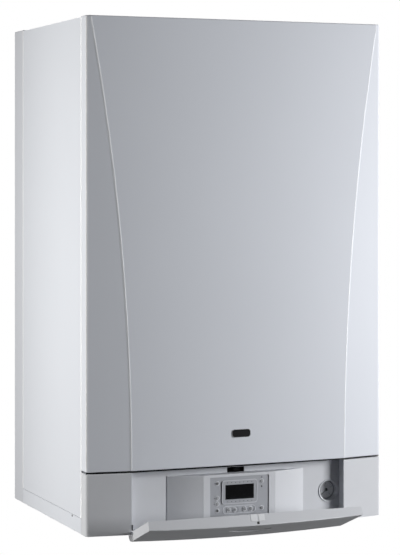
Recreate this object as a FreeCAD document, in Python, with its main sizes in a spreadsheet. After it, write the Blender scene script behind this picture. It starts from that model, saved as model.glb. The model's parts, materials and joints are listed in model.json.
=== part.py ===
import FreeCAD, Part
import math
import os
import re
import Sketcher
from FreeCAD import Placement, Rotation, Vector

doc = FreeCAD.newDocument("wall_boiler")
dims = doc.addObject("Spreadsheet::Sheet", "Dims")

# Driving sizes in mm and degrees. X runs to the right, Z up, and the wall is the plane y = 0.
# Depths are counted forward from the wall, so a depth d lies at y = -d.
sizes = (
    ("case_width", 600, "casing, left to right"),
    ("case_height", 950, "casing, bottom edge to top edge"),
    ("side_depth", 450, "wall to the side edges of the front"),
    ("sheet_gauge", 1.2, "casing sheet"),
    ("rear_strip", 57, "depth of the back frame's flange"),
    ("front_return", 27, "depth of the front panel's side return"),
    ("base_strip", 29, "height of the base tray's side wall"),
    ("seam_gap", 0.6, "open seam between neighbouring panels"),
    ("panel_drop", 2, "side and top panels lie this far below the top edge"),
    ("panel_lip", 10, "lip folded inward on the side panels"),
    ("fold_radius", 1.6, "outer rounding of folded sheet edges"),
    ("press_round", 2, "rounding of the front panel's top and bottom edges"),
    ("clip_radius", 1.8, "clip on the lower side seam"),
    ("control_height", 113.5, "height of the control moulding"),
    ("front_gap", 3, "shadow gap between control moulding and front panel"),
    ("crease_foot", 216, "half width between the creases at the foot"),
    ("crease_top_gap", 9, "creases end this far from the side edges at the top"),
    ("facet_rise", 12, "crease stands this far forward of the side edge at the foot"),
    ("crown_foot", 3, "bow of the middle field at the foot"),
    ("crown_top", 0.8, "bow of the middle field at the top"),
    ("lip_width", 3.6, "coved step along each crease"),
    ("lip_height", 1, "height of that step"),
    ("corner_radius", 6, "rounding of the front's side edges"),
    ("slot_spacing", 400, "between the two hanging slots"),
    ("slot_drop", 55, "hanging slots below the top edge"),
    ("slot_length", 30, "hanging slot, end to end"),
    ("slot_radius", 6, "half height of a hanging slot"),
    ("moulding", 2.5, "wall of the plastic mouldings"),
    ("fascia_depth", 21, "fascia lies this far behind the crease foot"),
    ("console_half", 139.5, "half width of the raised console"),
    ("console_flat", 73, "half width of its flat middle"),
    ("console_edge", 1, "rise of the console at its outer edges"),
    ("console_rise", 19.5, "rise of the console at its flat middle"),
    ("console_bow", 400, "radius of its bowed outer fields"),
    ("console_round", 0.6, "rounding of its outer edges"),
    ("console_low", 14, "lower edge of the console"),
    ("console_high", 100, "upper edge of the console"),
    ("unit_width", 120, "control unit plate"),
    ("unit_height", 73, "control unit plate"),
    ("unit_middle", 58.25, "height of the control unit's middle"),
    ("unit_sink", 1.5, "control unit lies this far below the console face"),
    ("unit_plate", 4, "thickness of the control unit plate"),
    ("unit_ledge", 4, "ledge that carries the control unit"),
    ("frame_width", 72, "raised frame around the display"),
    ("frame_height", 44, "raised frame around the display"),
    ("frame_rise", 1.2, "rise of that frame"),
    ("display_width", 58, "display window"),
    ("display_height", 27.5, "display window"),
    ("display_middle", 65.8, "height of the display's middle"),
    ("button_radius", 3, "push button"),
    ("button_proud", 1.6, "push button stands out of the plate"),
    ("button_travel", 1, "push button travel"),
    ("slip", 0.25, "radial clearance of sliding and fitted plastic pieces"),
    ("running", 0.05, "radial clearance of running fits"),
    ("gauge_inset", 22, "gauge centre from the cheek wall"),
    ("gauge_height", 53, "gauge centre above the bottom edge"),
    ("gauge_radius", 20, "gauge can"),
    ("gauge_wall", 0.9, "wall of the gauge can"),
    ("gauge_rim", 20.9, "gauge rim"),
    ("gauge_bead", 0.9, "rise of the gauge rim"),
    ("gauge_length", 30, "gauge can behind the fascia"),
    ("dial_depth", 13.5, "dial below the fascia"),
    ("needle_length", 14, "gauge needle from its spindle"),
    ("needle_rest", 225, "needle direction at zero pressure"),
    ("flap_crown", 5, "bow of the flap's front face"),
    ("hinge_back", 23, "flap hinge behind the crease foot"),
    ("hinge_height", 5, "flap hinge above the bottom edge"),
    ("flap_end_gap", 2.5, "between flap end and cheek wall"),
    ("flap_low", 1, "flap's lower edge when closed"),
    ("flap_high", 112, "flap's upper edge when closed"),
    ("flap_wall", 2.5, "flap wall"),
    ("flap_flange", 16.3, "depth of the flap's rim"),
    ("flap_round", 12, "rounding of the flap's lower edge"),
    ("flap_open", 69, "flap angle when it rests on its open stop"),
    ("ear_radius", 5, "hinge ear"),
    ("ear_width", 4, "hinge ear along the axis"),
    ("pin_radius", 2.2, "hinge pin"),
    ("catch_half", 17.5, "half width of the catch opening"),
    ("catch_low", 99.5, "lower edge of the catch opening"),
    ("catch_high", 109.5, "upper edge of the catch opening"),
    ("tongue_half", 14, "half width of the flap's latch tongue"),
    ("grip_half", 45, "half width of the flap's finger recess"),
    ("grip_height", 68, "middle of the finger recess above the hinge"),
    ("grip_rise", 15, "half height of the finger recess"),
    ("grip_depth", 1.5, "depth of the finger recess"),
    ("cover_depth", 80, "depth of the control box cover"),
    ("tank_radius", 115, "storage tank"),
    ("tank_side_gap", 16, "storage tank from the casing's left side"),
    ("tank_wall_gap", 58, "storage tank from the wall"),
    ("tank_low", 200, "tank foot"),
    ("tank_top_gap", 115, "tank top below the casing's top edge"),
    ("tank_dome", 42, "rise of the tank's domed ends"),
    ("tank_wall", 2, "tank sheet"),
    ("coil_offset", 58, "coil return stub behind the row of connections"),
    ("vessel_radius", 105, "expansion vessel"),
    ("vessel_depth", 80, "expansion vessel"),
    ("vessel_drop", 285, "vessel centre below the drum axis"),
    ("exchanger_radius", 95, "heat exchanger drum"),
    ("exchanger_length", 170, "heat exchanger drum"),
    ("exchanger_side_gap", 22, "drum from the casing's right side"),
    ("exchanger_drop", 260, "drum axis below the casing's top edge"),
    ("drum_back", 85, "drum's rear end behind the row of connections"),
    ("door_thick", 14, "burner door"),
    ("burner_radius", 34, "burner tube"),
    ("burner_length", 120, "burner tube"),
    ("fan_drop", 205, "fan axis below the drum axis"),
    ("fan_radius", 60, "fan housing"),
    ("fan_width", 46, "fan housing along its axis"),
    ("blade_count", 14, "fan blades"),
    ("flue_radius", 30, "flue socket bore"),
    ("air_radius", 50, "air ring bore"),
    ("pipe_radius", 9, "water and gas pipes"),
    ("pipe_wall", 1, "pipe wall"),
    ("pump_height", 240, "pump axis"),
    ("nipple_large", 13.2, "thread radius of the three quarter inch nipples"),
    ("nipple_small", 10.4, "thread radius of the half inch nipples"),
    ("nipple_reach", 24, "nipples below the casing"),
    ("nipple_top", 70, "nipples end above the base"),
)
for row, (alias, number, note) in enumerate(sizes, start=1):
    dims.set(f"A{row}", note)
    dims.set(f"B{row}", str(number))
    dims.setAlias(f"B{row}", alias)
doc.recompute()
aliases = {alias for alias, number, note in sizes}
nodes = {}


def bound(text):
    def cell(word):
        return "Dims." + word.group() if word.group() in aliases else word.group()
    return re.sub(r"[a-z][a-z_]+", cell, str(text))


def value(text):
    return float(dims.evalExpression(bound(text)))


# Derived places, written as formulas over the cells.
half = "(case_width / 2)"
crease = "(side_depth + facet_rise)"
fascia = f"({crease} - fascia_depth)"
fascia_back = f"({fascia} - moulding)"
console = f"({fascia} + console_rise)"
unit_face = f"({console} - unit_sink)"
unit_back = f"({unit_face} - unit_plate)"
crease_top = f"({half} - crease_top_gap)"
slot_height = "(case_height - slot_drop)"
panel_rear = "(rear_strip + seam_gap)"
panel_front = "(side_depth - front_return - seam_gap)"
hinge = f"({crease} - hinge_back)"
flap_half = "(crease_foot - flap_end_gap)"
gauge_x = "(crease_foot - gauge_inset)"
tank_x = f"(-{half} + tank_side_gap + tank_radius)"
tank_high = "(case_height - tank_top_gap)"
pipe_row = "(tank_wall_gap + tank_radius)"
exchanger_height = "(case_height - exchanger_drop)"
vessel_height = f"({exchanger_height} - vessel_drop)"
drum_x = f"({half} - exchanger_side_gap - exchanger_radius)"
drum_foot = f"({exchanger_height} - exchanger_radius - 12)"
drum_rear = f"({pipe_row} - drum_back)"
drum_front = f"({drum_rear} + exchanger_length)"
door_face = f"({drum_front} + door_thick)"
fan_middle = f"({door_face} + 32)"
fan_rear = f"({fan_middle} - fan_width / 2)"
fan_front = f"({fan_middle} + fan_width / 2)"
fan_height = f"({exchanger_height} - fan_drop)"
valve_x = drum_x
valve_middle = f"({fan_front} + 13)"
flow_x = f"({drum_x} - 64)"
gas_x = f"({drum_x} - 22)"
return_x = f"({drum_x} + 22)"
trap_x = f"({drum_x} + 74)"
trap_row = f"({drum_rear} + 26)"
cold_x = f"({tank_x} + 40)"
hot_x = f"({tank_x} + tank_radius + pipe_radius + 5)"


def body(label):
    piece = doc.addObject("PartDesign::Body", label)
    piece.Label = label
    nodes[label] = piece
    return piece


def sketch(piece, plane, offset="0"):
    drawing = piece.newObject("Sketcher::SketchObject", piece.Name + "_sketch")
    support = [feature for feature in piece.Origin.OriginFeatures if feature.Role == plane]
    drawing.AttachmentSupport = (support[0], [""])
    drawing.MapMode = "FlatFace"
    drawing.setExpression("AttachmentOffset.Base.z", bound(offset))
    return drawing


def place(drawing, curve, point, x, y):
    for kind, text, axis in (("DistanceX", x, -2), ("DistanceY", y, -1)):
        if text == "0":
            drawing.addConstraint(Sketcher.Constraint("PointOnObject", curve, point, axis))
        else:
            index = drawing.addConstraint(Sketcher.Constraint(kind, -1, 1, curve, point, value(text)))
            drawing.setExpression(f"Constraints[{index}]", bound(text))


# A closed outline. A corner is (x, y), or (x, y, radius, turn) when an arc leads on from it:
# turn +1 runs the arc anticlockwise, -1 clockwise.
def loop(drawing, *corners):
    spots = [Vector(value(corner[0]), value(corner[1]), 0) for corner in corners]
    runs = []
    for corner, start, end in zip(corners, spots, spots[1:] + spots[:1]):
        if len(corner) == 2:
            runs.append((drawing.addGeometry(Part.LineSegment(start, end)), 1, 2))
            continue
        radius, turn = value(corner[2]), corner[3]
        chord = end - start
        rise = math.sqrt(max(radius ** 2 - chord.Length ** 2 / 4, 0))
        side = Vector(-chord.y, chord.x, 0).normalize() * turn
        middle = (start + end) / 2 + side * rise
        first, last = (start, end) if turn > 0 else (end, start)
        begin = math.atan2(first.y - middle.y, first.x - middle.x)
        stop = math.atan2(last.y - middle.y, last.x - middle.x)
        circle = Part.Circle(middle, Vector(0, 0, 1), radius)
        curve = drawing.addGeometry(Part.ArcOfCircle(circle, begin, stop))
        runs.append((curve, 1, 2) if turn > 0 else (curve, 2, 1))
    for (curve, start, end), (following, begin, stop) in zip(runs, runs[1:] + runs[:1]):
        drawing.addConstraint(Sketcher.Constraint("Coincident", curve, end, following, begin))
    for corner, (curve, start, end) in zip(corners, runs):
        place(drawing, curve, start, corner[0], corner[1])
        if len(corner) > 2:
            index = drawing.addConstraint(Sketcher.Constraint("Radius", curve, value(corner[2])))
            drawing.setExpression(f"Constraints[{index}]", bound(corner[2]))


def rectangle(drawing, left, low, right, high):
    loop(drawing, (left, low), (right, low), (right, high), (left, high))


def ring(drawing, x, y, radius):
    circle = Part.Circle(Vector(value(x), value(y), 0), Vector(0, 0, 1), value(radius))
    curve = drawing.addGeometry(circle)
    place(drawing, curve, 3, x, y)
    index = drawing.addConstraint(Sketcher.Constraint("Radius", curve, value(radius)))
    drawing.setExpression(f"Constraints[{index}]", bound(radius))


# A slot lying along X, closed by half circles.
def slot(drawing, x, y, length, radius):
    reach = f"({length} / 2 - {radius})"
    loop(drawing, (f"{x} - {reach}", f"{y} - {radius}"),
         (f"{x} + {reach}", f"{y} - {radius}", f"{radius} + 0.0001", 1),
         (f"{x} + {reach}", f"{y} + {radius}"),
         (f"{x} - {reach}", f"{y} + {radius}", f"{radius} + 0.0001", 1))


def pad(piece, drawing, length, backward=False):
    feature = piece.newObject("PartDesign::Pad", piece.Name + "_pad")
    feature.Profile = drawing
    feature.setExpression("Length", bound(length))
    feature.Reversed = backward
    doc.recompute()
    return feature


def pocket(piece, drawing, length, forward=False):
    feature = piece.newObject("PartDesign::Pocket", piece.Name + "_pocket")
    feature.Profile = drawing
    feature.setExpression("Length", bound(length))
    feature.Reversed = forward
    doc.recompute()
    return feature


def edges(feature, wanted):
    found = enumerate(feature.Shape.Edges, start=1)
    return [f"Edge{index}" for index, edge in found if wanted(edge.BoundBox)]


def fillet(piece, feature, wanted, radius):
    rounded = piece.newObject("PartDesign::Fillet", piece.Name + "_round")
    rounded.Base = (feature, edges(feature, wanted))
    rounded.setExpression("Radius", bound(radius))
    doc.recompute()
    return rounded


def near(first, second):
    return abs(first - second) < 0.01


# A turned piece. Corners are (radius, height along its own axis).
def revolve(piece, *corners):
    drawing = sketch(piece, "XZ_Plane")
    loop(drawing, *corners)
    feature = piece.newObject("PartDesign::Revolution", piece.Name + "_turn")
    feature.Profile = drawing
    feature.ReferenceAxis = (drawing, ["V_Axis"])
    feature.Angle = 360
    doc.recompute()
    return feature


def stand(piece, x="0", depth="0", z="0", forward=False):
    if forward:
        piece.Placement = Placement(Vector(), Rotation(Vector(1, 0, 0), 90))
    piece.setExpression("Placement.Base.x", bound(x))
    piece.setExpression("Placement.Base.y", bound(f"-({depth})"))
    piece.setExpression("Placement.Base.z", bound(z))


def block(label, x, depth, z):
    piece = doc.addObject("Part::Box", label)
    piece.setExpression("Length", bound(f"({x[1]}) - ({x[0]})"))
    piece.setExpression("Width", bound(f"({depth[1]}) - ({depth[0]})"))
    piece.setExpression("Height", bound(f"({z[1]}) - ({z[0]})"))
    stand(piece, x[0], depth[1], z[0])
    nodes[label] = piece
    return piece


# A round bar along X at (depth, z), along Y at (x, z) or along Z at (x, depth).
def rod(label, axis, at, span, radius):
    piece = doc.addObject("Part::Cylinder", label)
    piece.setExpression("Radius", bound(radius))
    piece.setExpression("Height", bound(f"({span[1]}) - ({span[0]})"))
    if axis == "X":
        piece.Placement = Placement(Vector(), Rotation(Vector(0, 1, 0), 90))
        stand(piece, span[0], at[0], at[1])
    elif axis == "Y":
        stand(piece, at[0], span[0], at[1], forward=True)
    else:
        stand(piece, at[0], at[1], span[0])
    nodes[label] = piece
    return piece


def join(label, *pieces):
    whole = doc.addObject("Part::MultiFuse", label)
    whole.Shapes = list(pieces)
    return settle(label, whole, pieces)


def cut(label, base, *tools):
    tool = tools[0]
    if len(tools) > 1:
        tool = doc.addObject("Part::MultiFuse", label + "_tools")
        tool.Shapes = list(tools)
    whole = doc.addObject("Part::Cut", label)
    whole.Base = base
    whole.Tool = tool
    return settle(label, whole, (base,) + tools)


def group(label, *pieces):
    whole = doc.addObject("Part::Compound", label)
    whole.Links = list(pieces)
    return settle(label, whole, pieces)


def settle(label, whole, pieces):
    for piece in pieces:
        nodes.pop(piece.Name, None)
    whole.Label = label
    nodes[label] = whole
    return whole


def tube(label, axis, at, span, radius, wall):
    outer = rod(label + "_outer", axis, at, span, radius)
    inner = rod(label + "_bore", axis, at, (f"{span[0]} - 1", f"{span[1]} + 1"), f"{radius} - {wall}")
    return cut(label, outer, inner)


# A bent pipe: straight runs between the points, joined by arcs of the given bend radius.
def bent_pipe(label, radius, wall, bend, *points):
    spots = [Vector(value(x), -value(depth), value(z)) for x, depth, z in points]
    runs = []
    start = spots[0]
    for before, corner, after in zip(spots, spots[1:], spots[2:]):
        arriving = (before - corner).normalize()
        leaving = (after - corner).normalize()
        opening = arriving.getAngle(leaving)
        reach = value(bend) / math.tan(opening / 2)
        entry, leave = corner + arriving * reach, corner + leaving * reach
        inward = (arriving + leaving).normalize()
        crown = corner + inward * (value(bend) / math.sin(opening / 2) - value(bend))
        runs.append(Part.makeLine(start, entry))
        runs.append(Part.Arc(entry, crown, leave).toShape())
        start = leave
    runs.append(Part.makeLine(start, spots[-1]))
    spine = Part.Wire(runs)
    heading = spots[1] - spots[0]
    solids = []
    for size in (value(radius), value(radius) - value(wall)):
        mouth = Part.Wire([Part.makeCircle(size, spots[0], heading)])
        solids.append(spine.makePipeShell([mouth], True, True))
    piece = doc.addObject("Part::Feature", label)
    piece.Shape = solids[0].cut(solids[1])
    nodes[label] = piece
    return piece


# Back frame: a sheet with a flange all round and two hanging slots.
frame = body("back_frame")
drawing = sketch(frame, "XZ_Plane")
rectangle(drawing, f"-{half}", "0", half, "case_height")
pad(frame, drawing, "sheet_gauge")
drawing = sketch(frame, "XZ_Plane")
rectangle(drawing, f"-{half}", "0", half, "case_height")
rectangle(drawing, f"-{half} + sheet_gauge", "sheet_gauge",
          f"{half} - sheet_gauge", "case_height - sheet_gauge")
pad(frame, drawing, "rear_strip")
drawing = sketch(frame, "XZ_Plane", "sheet_gauge")
slot(drawing, "-slot_spacing / 2", slot_height, "slot_length", "slot_radius")
slot(drawing, "slot_spacing / 2", slot_height, "slot_length", "slot_radius")
slotted = pocket(frame, drawing, "sheet_gauge")
fillet(frame, slotted, lambda box: near(box.YLength, value("rear_strip"))
       and near(abs(box.Center.x), value(half)), "fold_radius")

# Side panels: sheets with a lip folded inward along the front and rear edges.
for label, side in (("left_side_panel", "-"), ("right_side_panel", "")):
    panel = body(label)
    drawing = sketch(panel, "XY_Plane", "base_strip + seam_gap")
    outer = f"{side}{half}"
    inner = f"{side}({half} - sheet_gauge)"
    lip = f"{side}({half} - panel_lip)"
    loop(drawing, (outer, f"-{panel_rear}"), (outer, f"-{panel_front}"), (lip, f"-{panel_front}"),
         (lip, f"-{panel_front} + sheet_gauge"), (inner, f"-{panel_front} + sheet_gauge"),
         (inner, f"-{panel_rear} - sheet_gauge"), (lip, f"-{panel_rear} - sheet_gauge"),
         (lip, f"-{panel_rear}"))
    folded = pad(panel, drawing, "case_height - panel_drop - base_strip - seam_gap")
    fillet(panel, folded, lambda box: box.ZLength > 1
           and near(abs(box.Center.x), value(half)), "fold_radius")

# Clips that hold the side panels' lower edges, seen as small dark heads on the seam.
clips = []
for label, low, high in (("left_clip", f"-{half} - 0.4", f"-{half} + 12"),
                         ("right_clip", f"{half} - 12", f"{half} + 0.4")):
    clips.append(rod(label, "X", ("side_depth - 79", "base_strip - 3"), (low, high), "clip_radius"))
group("seam_clips", *clips)

# Top panel: a sheet between the side panels' lips, open under the flue collar.
top = body("top_panel")
drawing = sketch(top, "XY_Plane", "case_height - panel_drop - sheet_gauge")
top_half = f"({half} - sheet_gauge - seam_gap)"
top_rear = f"({panel_rear} + sheet_gauge + seam_gap)"
top_front = f"({panel_front} - sheet_gauge - seam_gap)"
rectangle(drawing, f"-{top_half}", f"-{top_front}", top_half, f"-{top_rear}")
ring(drawing, drum_x, f"-{pipe_row}", "air_radius")
for side_x in (-1, 1):
    for side_y in (-1, 1):
        ring(drawing, f"{drum_x} + {side_x} * 48", f"-{pipe_row} + {side_y} * 48", "2.4")
pad(top, drawing, "sheet_gauge")
drawing = sketch(top, "XY_Plane", "case_height - panel_drop - sheet_gauge")
rectangle(drawing, f"-{top_half}", f"-{top_front}", f"-{top_half} + sheet_gauge", f"-{top_rear}")
rectangle(drawing, f"{top_half} - sheet_gauge", f"-{top_front}", top_half, f"-{top_rear}")
pad(top, drawing, "panel_lip", backward=True)

# Base tray: a channel whose walls show as the low strips at the sides, bored for the nipples.
tray = body("base_tray")
drawing = sketch(tray, "XZ_Plane", panel_rear)
loop(drawing, (f"-{half}", "0"), (half, "0"), (half, "base_strip"),
     (f"{half} - sheet_gauge", "base_strip"), (f"{half} - sheet_gauge", "sheet_gauge"),
     (f"-{half} + sheet_gauge", "sheet_gauge"), (f"-{half} + sheet_gauge", "base_strip"),
     (f"-{half}", "base_strip"))
folded = pad(tray, drawing, f"{panel_front} - {panel_rear}")
fillet(tray, folded, lambda box: box.YLength > 1 and near(abs(box.Center.x), value(half))
       and near(box.ZMax, 0), "fold_radius")
drawing = sketch(tray, "XY_Plane", "sheet_gauge")
for x, radius in ((flow_x, "nipple_large"), (gas_x, "nipple_large"), (return_x, "nipple_large"),
                  (cold_x, "nipple_small"), (hot_x, "nipple_small")):
    ring(drawing, x, f"-{pipe_row}", f"{radius} + slip")
ring(drawing, trap_x, f"-{trap_row}", "pipe_radius + slip")
pocket(tray, drawing, "sheet_gauge")
for wall, outward in ((f"-{half}", True), (half, False)):
    drawing = sketch(tray, "YZ_Plane", wall)
    ring(drawing, "-(side_depth - 79)", "base_strip - 3", "clip_radius + slip")
    pocket(tray, drawing, "sheet_gauge", forward=outward)


# Front panel: one pressed sheet. Two creases curve from the foot out to the top corners and part
# the bowed middle field from the raked side facets; the field stands on a coved step along each crease.
def press_section(z, inset, hollow):
    wide, deep = value(half) - inset, value("side_depth") - inset
    lift = (z - value("control_height + front_gap")) / value("case_height - control_height - front_gap")
    fold = value("crease_foot") + value(f"{crease_top} - crease_foot") * lift ** 2
    rake = value("facet_rise") / value(f"{half} - crease_foot")
    fold_depth = deep + rake * (value(half) - fold)
    bow = value("crown_foot") + value("crown_top - crown_foot") * lift
    back = value("side_depth - front_return") - (1 if hollow else 0)
    turn = math.atan2(1, rake)
    radius = value("corner_radius") - inset
    reach = radius * math.tan(turn / 2)
    slope = Vector(1, rake, 0).normalize()
    corner = Vector(-wide, deep, 0)
    round_start, round_end = corner - Vector(0, reach, 0), corner + slope * reach
    middle = Vector(-wide + radius, deep - reach, 0)
    round_crown = middle + (corner - middle).normalize() * radius
    lip_start = Vector(-fold, fold_depth, 0) - slope * value("lip_width")
    lip_end = Vector(-fold, fold_depth + value("lip_height"), 0)
    crown = lip_end + Vector(fold, bow, 0)
    field_slope = Vector(1, math.tan(2 * math.atan2(bow, fold)), 0).normalize()
    reach = value("lip_width / 2")
    lip = (lip_start, lip_start + slope * reach, lip_end - field_slope * reach, lip_end)

    def at(spot, side=1):
        return Vector(side * spot.x, -spot.y, z)

    def arc(first, crown, last):
        return Part.Arc(first, crown, last).toShape()

    def cove(poles):
        curve = Part.BezierCurve()
        curve.setPoles(poles)
        return curve.toShape()

    rear = Vector(-wide, back, 0)
    runs = [
        Part.makeLine(at(rear), at(round_start)),
        arc(at(round_start), at(round_crown), at(round_end)),
        Part.makeLine(at(round_end), at(lip_start)),
        cove([at(pole) for pole in lip]),
        arc(at(lip_end), at(crown), at(lip_end, -1)),
        cove([at(pole, -1) for pole in reversed(lip)]),
        Part.makeLine(at(lip_start, -1), at(round_end, -1)),
        arc(at(round_end, -1), at(round_crown, -1), at(round_start, -1)),
        Part.makeLine(at(round_start, -1), at(rear, -1)),
        Part.makeLine(at(rear, -1), at(rear)),
    ]
    return Part.Wire(runs)


def press_loft(low, high, inset, hollow):
    steps = [low + (high - low) * step / 5 for step in range(6)]
    return Part.makeLoft([press_section(z, inset, hollow) for z in steps], True)


def press_rim(edge, inward):
    turns = [math.radians(angle) for angle in (0, 30, 60, 90)]
    sections = [press_section(edge + inward * value("press_round") * (1 - math.sin(turn)),
                              value("press_round") * (1 - math.cos(turn)), False) for turn in turns]
    return Part.makeLoft(sections, True)


gauge, rim_round = value("sheet_gauge"), value("press_round")
foot, head = value("control_height + front_gap"), value("case_height")
skin = press_loft(foot + rim_round, head - rim_round, 0, False)
skin = skin.fuse([press_rim(foot, 1), press_rim(head, -1)])
front = doc.addObject("Part::Feature", "front_panel")
front.Shape = skin.cut(press_loft(foot + gauge, head - gauge, gauge, True)).removeSplitter()
nodes["front_panel"] = front

# Control moulding: cheeks that carry on the side facets, with the fascia set back between them.
control = body("control_fascia")
plan = ((f"-{half}", "-(side_depth - front_return)"), (f"-{half}", "-side_depth"),
        ("-crease_foot", f"-{crease}"), ("-crease_foot", f"-{fascia}"),
        ("crease_foot", f"-{fascia}"), ("crease_foot", f"-{crease}"),
        (half, "-side_depth"), (half, "-(side_depth - front_return)"))
drawing = sketch(control, "XY_Plane")
loop(drawing, *plan)
rounded = pad(control, drawing, "control_height")
rounded = fillet(control, rounded, lambda box: box.ZLength > 1 and near(abs(box.Center.x), value(half))
                 and near(box.Center.y, -value("side_depth")), "corner_radius")
fillet(control, rounded, lambda box: near(box.ZMin, value("control_height")) and box.ZLength < 0.01
       and box.XMin * box.XMax > 0 and box.XLength > 1 and near(box.YMin, -value(crease)), "press_round")
drawing = sketch(control, "XY_Plane", "control_height - moulding")
cheek = f"({half} - moulding)"
loop(drawing, (f"-{cheek}", "-(side_depth - front_return - 1)"), (f"-{cheek}", "-(side_depth - moulding)"),
     ("-(crease_foot + moulding)", f"-({crease} - moulding)"),
     ("-(crease_foot + moulding)", f"-{fascia_back}"), ("crease_foot + moulding", f"-{fascia_back}"),
     ("crease_foot + moulding", f"-({crease} - moulding)"),
     (cheek, "-(side_depth - moulding)"), (cheek, "-(side_depth - front_return - 1)"))
pocket(control, drawing, "control_height - 2 * moulding")
drawing = sketch(control, "XY_Plane", "moulding")
rectangle(drawing, "-crease_foot", f"-{fascia} - 1", "crease_foot", "-(side_depth - front_return - 1)")
pocket(control, drawing, "moulding")
drawing = sketch(control, "XZ_Plane", fascia)
console_open = "(unit_width / 2 - unit_ledge)"
rectangle(drawing, f"-{console_open}", "unit_middle - unit_height / 2 + unit_ledge",
          console_open, "unit_middle + unit_height / 2 - unit_ledge")
ring(drawing, gauge_x, "gauge_height", "gauge_radius + slip")
rectangle(drawing, "-catch_half", "catch_low", "catch_half", "catch_high")
ear_room = "(ear_radius + hinge_height + 4)"
ear_edge = f"({flap_half} - ear_width - 4)"
rectangle(drawing, "-crease_foot", "0", f"-{ear_edge}", ear_room)
rectangle(drawing, ear_edge, "0", "crease_foot", ear_room)
pocket(control, drawing, "moulding")
for wall, outward in (("-crease_foot", False), ("crease_foot", True)):
    drawing = sketch(control, "YZ_Plane", wall)
    ring(drawing, f"-{hinge}", "hinge_height", "pin_radius + running")
    pocket(control, drawing, "moulding", forward=outward)
drawing = sketch(control, "XZ_Plane", fascia_back)
for x in ("-180", "150"):
    for z in ("28", "90"):
        ring(drawing, x, z, "3")
pad(control, drawing, "7", backward=True)

# Console: a raised block on the fascia with raked ends, recessed for the control unit.
raised = body("control_console")
drawing = sketch(raised, "XY_Plane", "console_low")
edge_depth = f"({fascia} + console_edge)"
loop(drawing, ("-console_half", f"-{fascia}"), ("-console_half", f"-{edge_depth}", "console_bow", 1),
     ("-console_flat", f"-{console}"), ("console_flat", f"-{console}", "console_bow", 1),
     ("console_half", f"-{edge_depth}"), ("console_half", f"-{fascia}"))
block_pad = pad(raised, drawing, "console_high - console_low")
fillet(raised, block_pad, lambda box: box.YMin < -value(edge_depth) + 0.01
       and not near(box.YMax, -value(fascia))
       and (box.ZLength < 0.01 or near(abs(box.Center.x), value("console_half"))), "console_round")
drawing = sketch(raised, "XZ_Plane", console)
rectangle(drawing, "-unit_width / 2", "unit_middle - unit_height / 2",
          "unit_width / 2", "unit_middle + unit_height / 2")
pocket(raised, drawing, "unit_sink + unit_plate")
drawing = sketch(raised, "XZ_Plane", console)
rectangle(drawing, f"-{console_open}", "unit_middle - unit_height / 2 + unit_ledge",
          console_open, "unit_middle + unit_height / 2 - unit_ledge")
pocket(raised, drawing, "console_rise")
drawing = sketch(raised, "XY_Plane", "console_high - moulding")
rake = "((console_half - console_flat) / (console_rise - console_edge))"
hollow_end = f"(console_half - moulding - (moulding - console_edge) * {rake})"
for side in ("-", ""):
    loop(drawing, (f"{side}{hollow_end}", f"-{fascia}"),
         (f"{side}console_flat", f"-({console} - moulding)"),
         (f"{side}(unit_width / 2 + moulding)", f"-({console} - moulding)"),
         (f"{side}(unit_width / 2 + moulding)", f"-{fascia}"))
pocket(raised, drawing, "console_high - console_low - 2 * moulding")

# Control unit plate with the display frame and the holes of its buttons and lamp.
left_column, right_column, low_row = "-45", "45.5", "32.5"
buttons = (
    ("menu_button", left_column, "83"),
    ("up_button", left_column, "56"),
    ("down_button", left_column, "45"),
    ("summer_button", left_column, low_row),
    ("heating_less_button", "-22", low_row),
    ("heating_more_button", "-9.6", low_row),
    ("water_less_button", "10.6", low_row),
    ("water_more_button", "23", low_row),
    ("reset_button", right_column, low_row),
    ("power_button", right_column, "83"),
)
lamp_x, lamp_z = "45.5", "73"
plate = body("control_unit")
drawing = sketch(plate, "XZ_Plane", unit_back)
rectangle(drawing, "-unit_width / 2 + slip", "unit_middle - unit_height / 2 + slip",
          "unit_width / 2 - slip", "unit_middle + unit_height / 2 - slip")
pad(plate, drawing, "unit_plate")
drawing = sketch(plate, "XZ_Plane", unit_face)
rectangle(drawing, "-frame_width / 2", "display_middle - frame_height / 2",
          "frame_width / 2", "display_middle + frame_height / 2")
framed = pad(plate, drawing, "frame_rise")
fillet(plate, framed, lambda box: box.YLength > 1 and box.YLength < value("unit_plate")
       and near(box.Center.x, box.XMin) and near(box.YMin, -value(f"{unit_face} + frame_rise")), "5")
drawing = sketch(plate, "XZ_Plane", f"{unit_face} + frame_rise")
rectangle(drawing, "-display_width / 2", "display_middle - display_height / 2",
          "display_width / 2", "display_middle + display_height / 2")
pocket(plate, drawing, "2.4")
drawing = sketch(plate, "XZ_Plane", unit_face)
for label, x, z in buttons:
    ring(drawing, x, z, "button_radius + slip")
ring(drawing, lamp_x, lamp_z, "1.6")
pocket(plate, drawing, "unit_plate")
drawing = sketch(plate, "XZ_Plane", unit_face)
slot(drawing, "-15.8", low_row, "27", "6")
slot(drawing, "16.8", low_row, "27", "6")
pocket(plate, drawing, "0.6")

block("display_window", ("-display_width / 2 + slip", "display_width / 2 - slip"),
      (f"{unit_face} + frame_rise - 2.4", f"{unit_face} + frame_rise - 0.5"),
      ("display_middle - display_height / 2 + slip", "display_middle + display_height / 2 - slip"))

lamp = body("status_lamp")
revolve(lamp, ("0", "-0.8"), ("2.4", "-0.8"), ("2.4", "0"), ("1.6 - slip / 2", "0"),
        ("1.6 - slip / 2", "unit_plate + 0.3"), ("0", "unit_plate + 0.3"))
stand(lamp, lamp_x, unit_back, lamp_z, forward=True)

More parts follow.
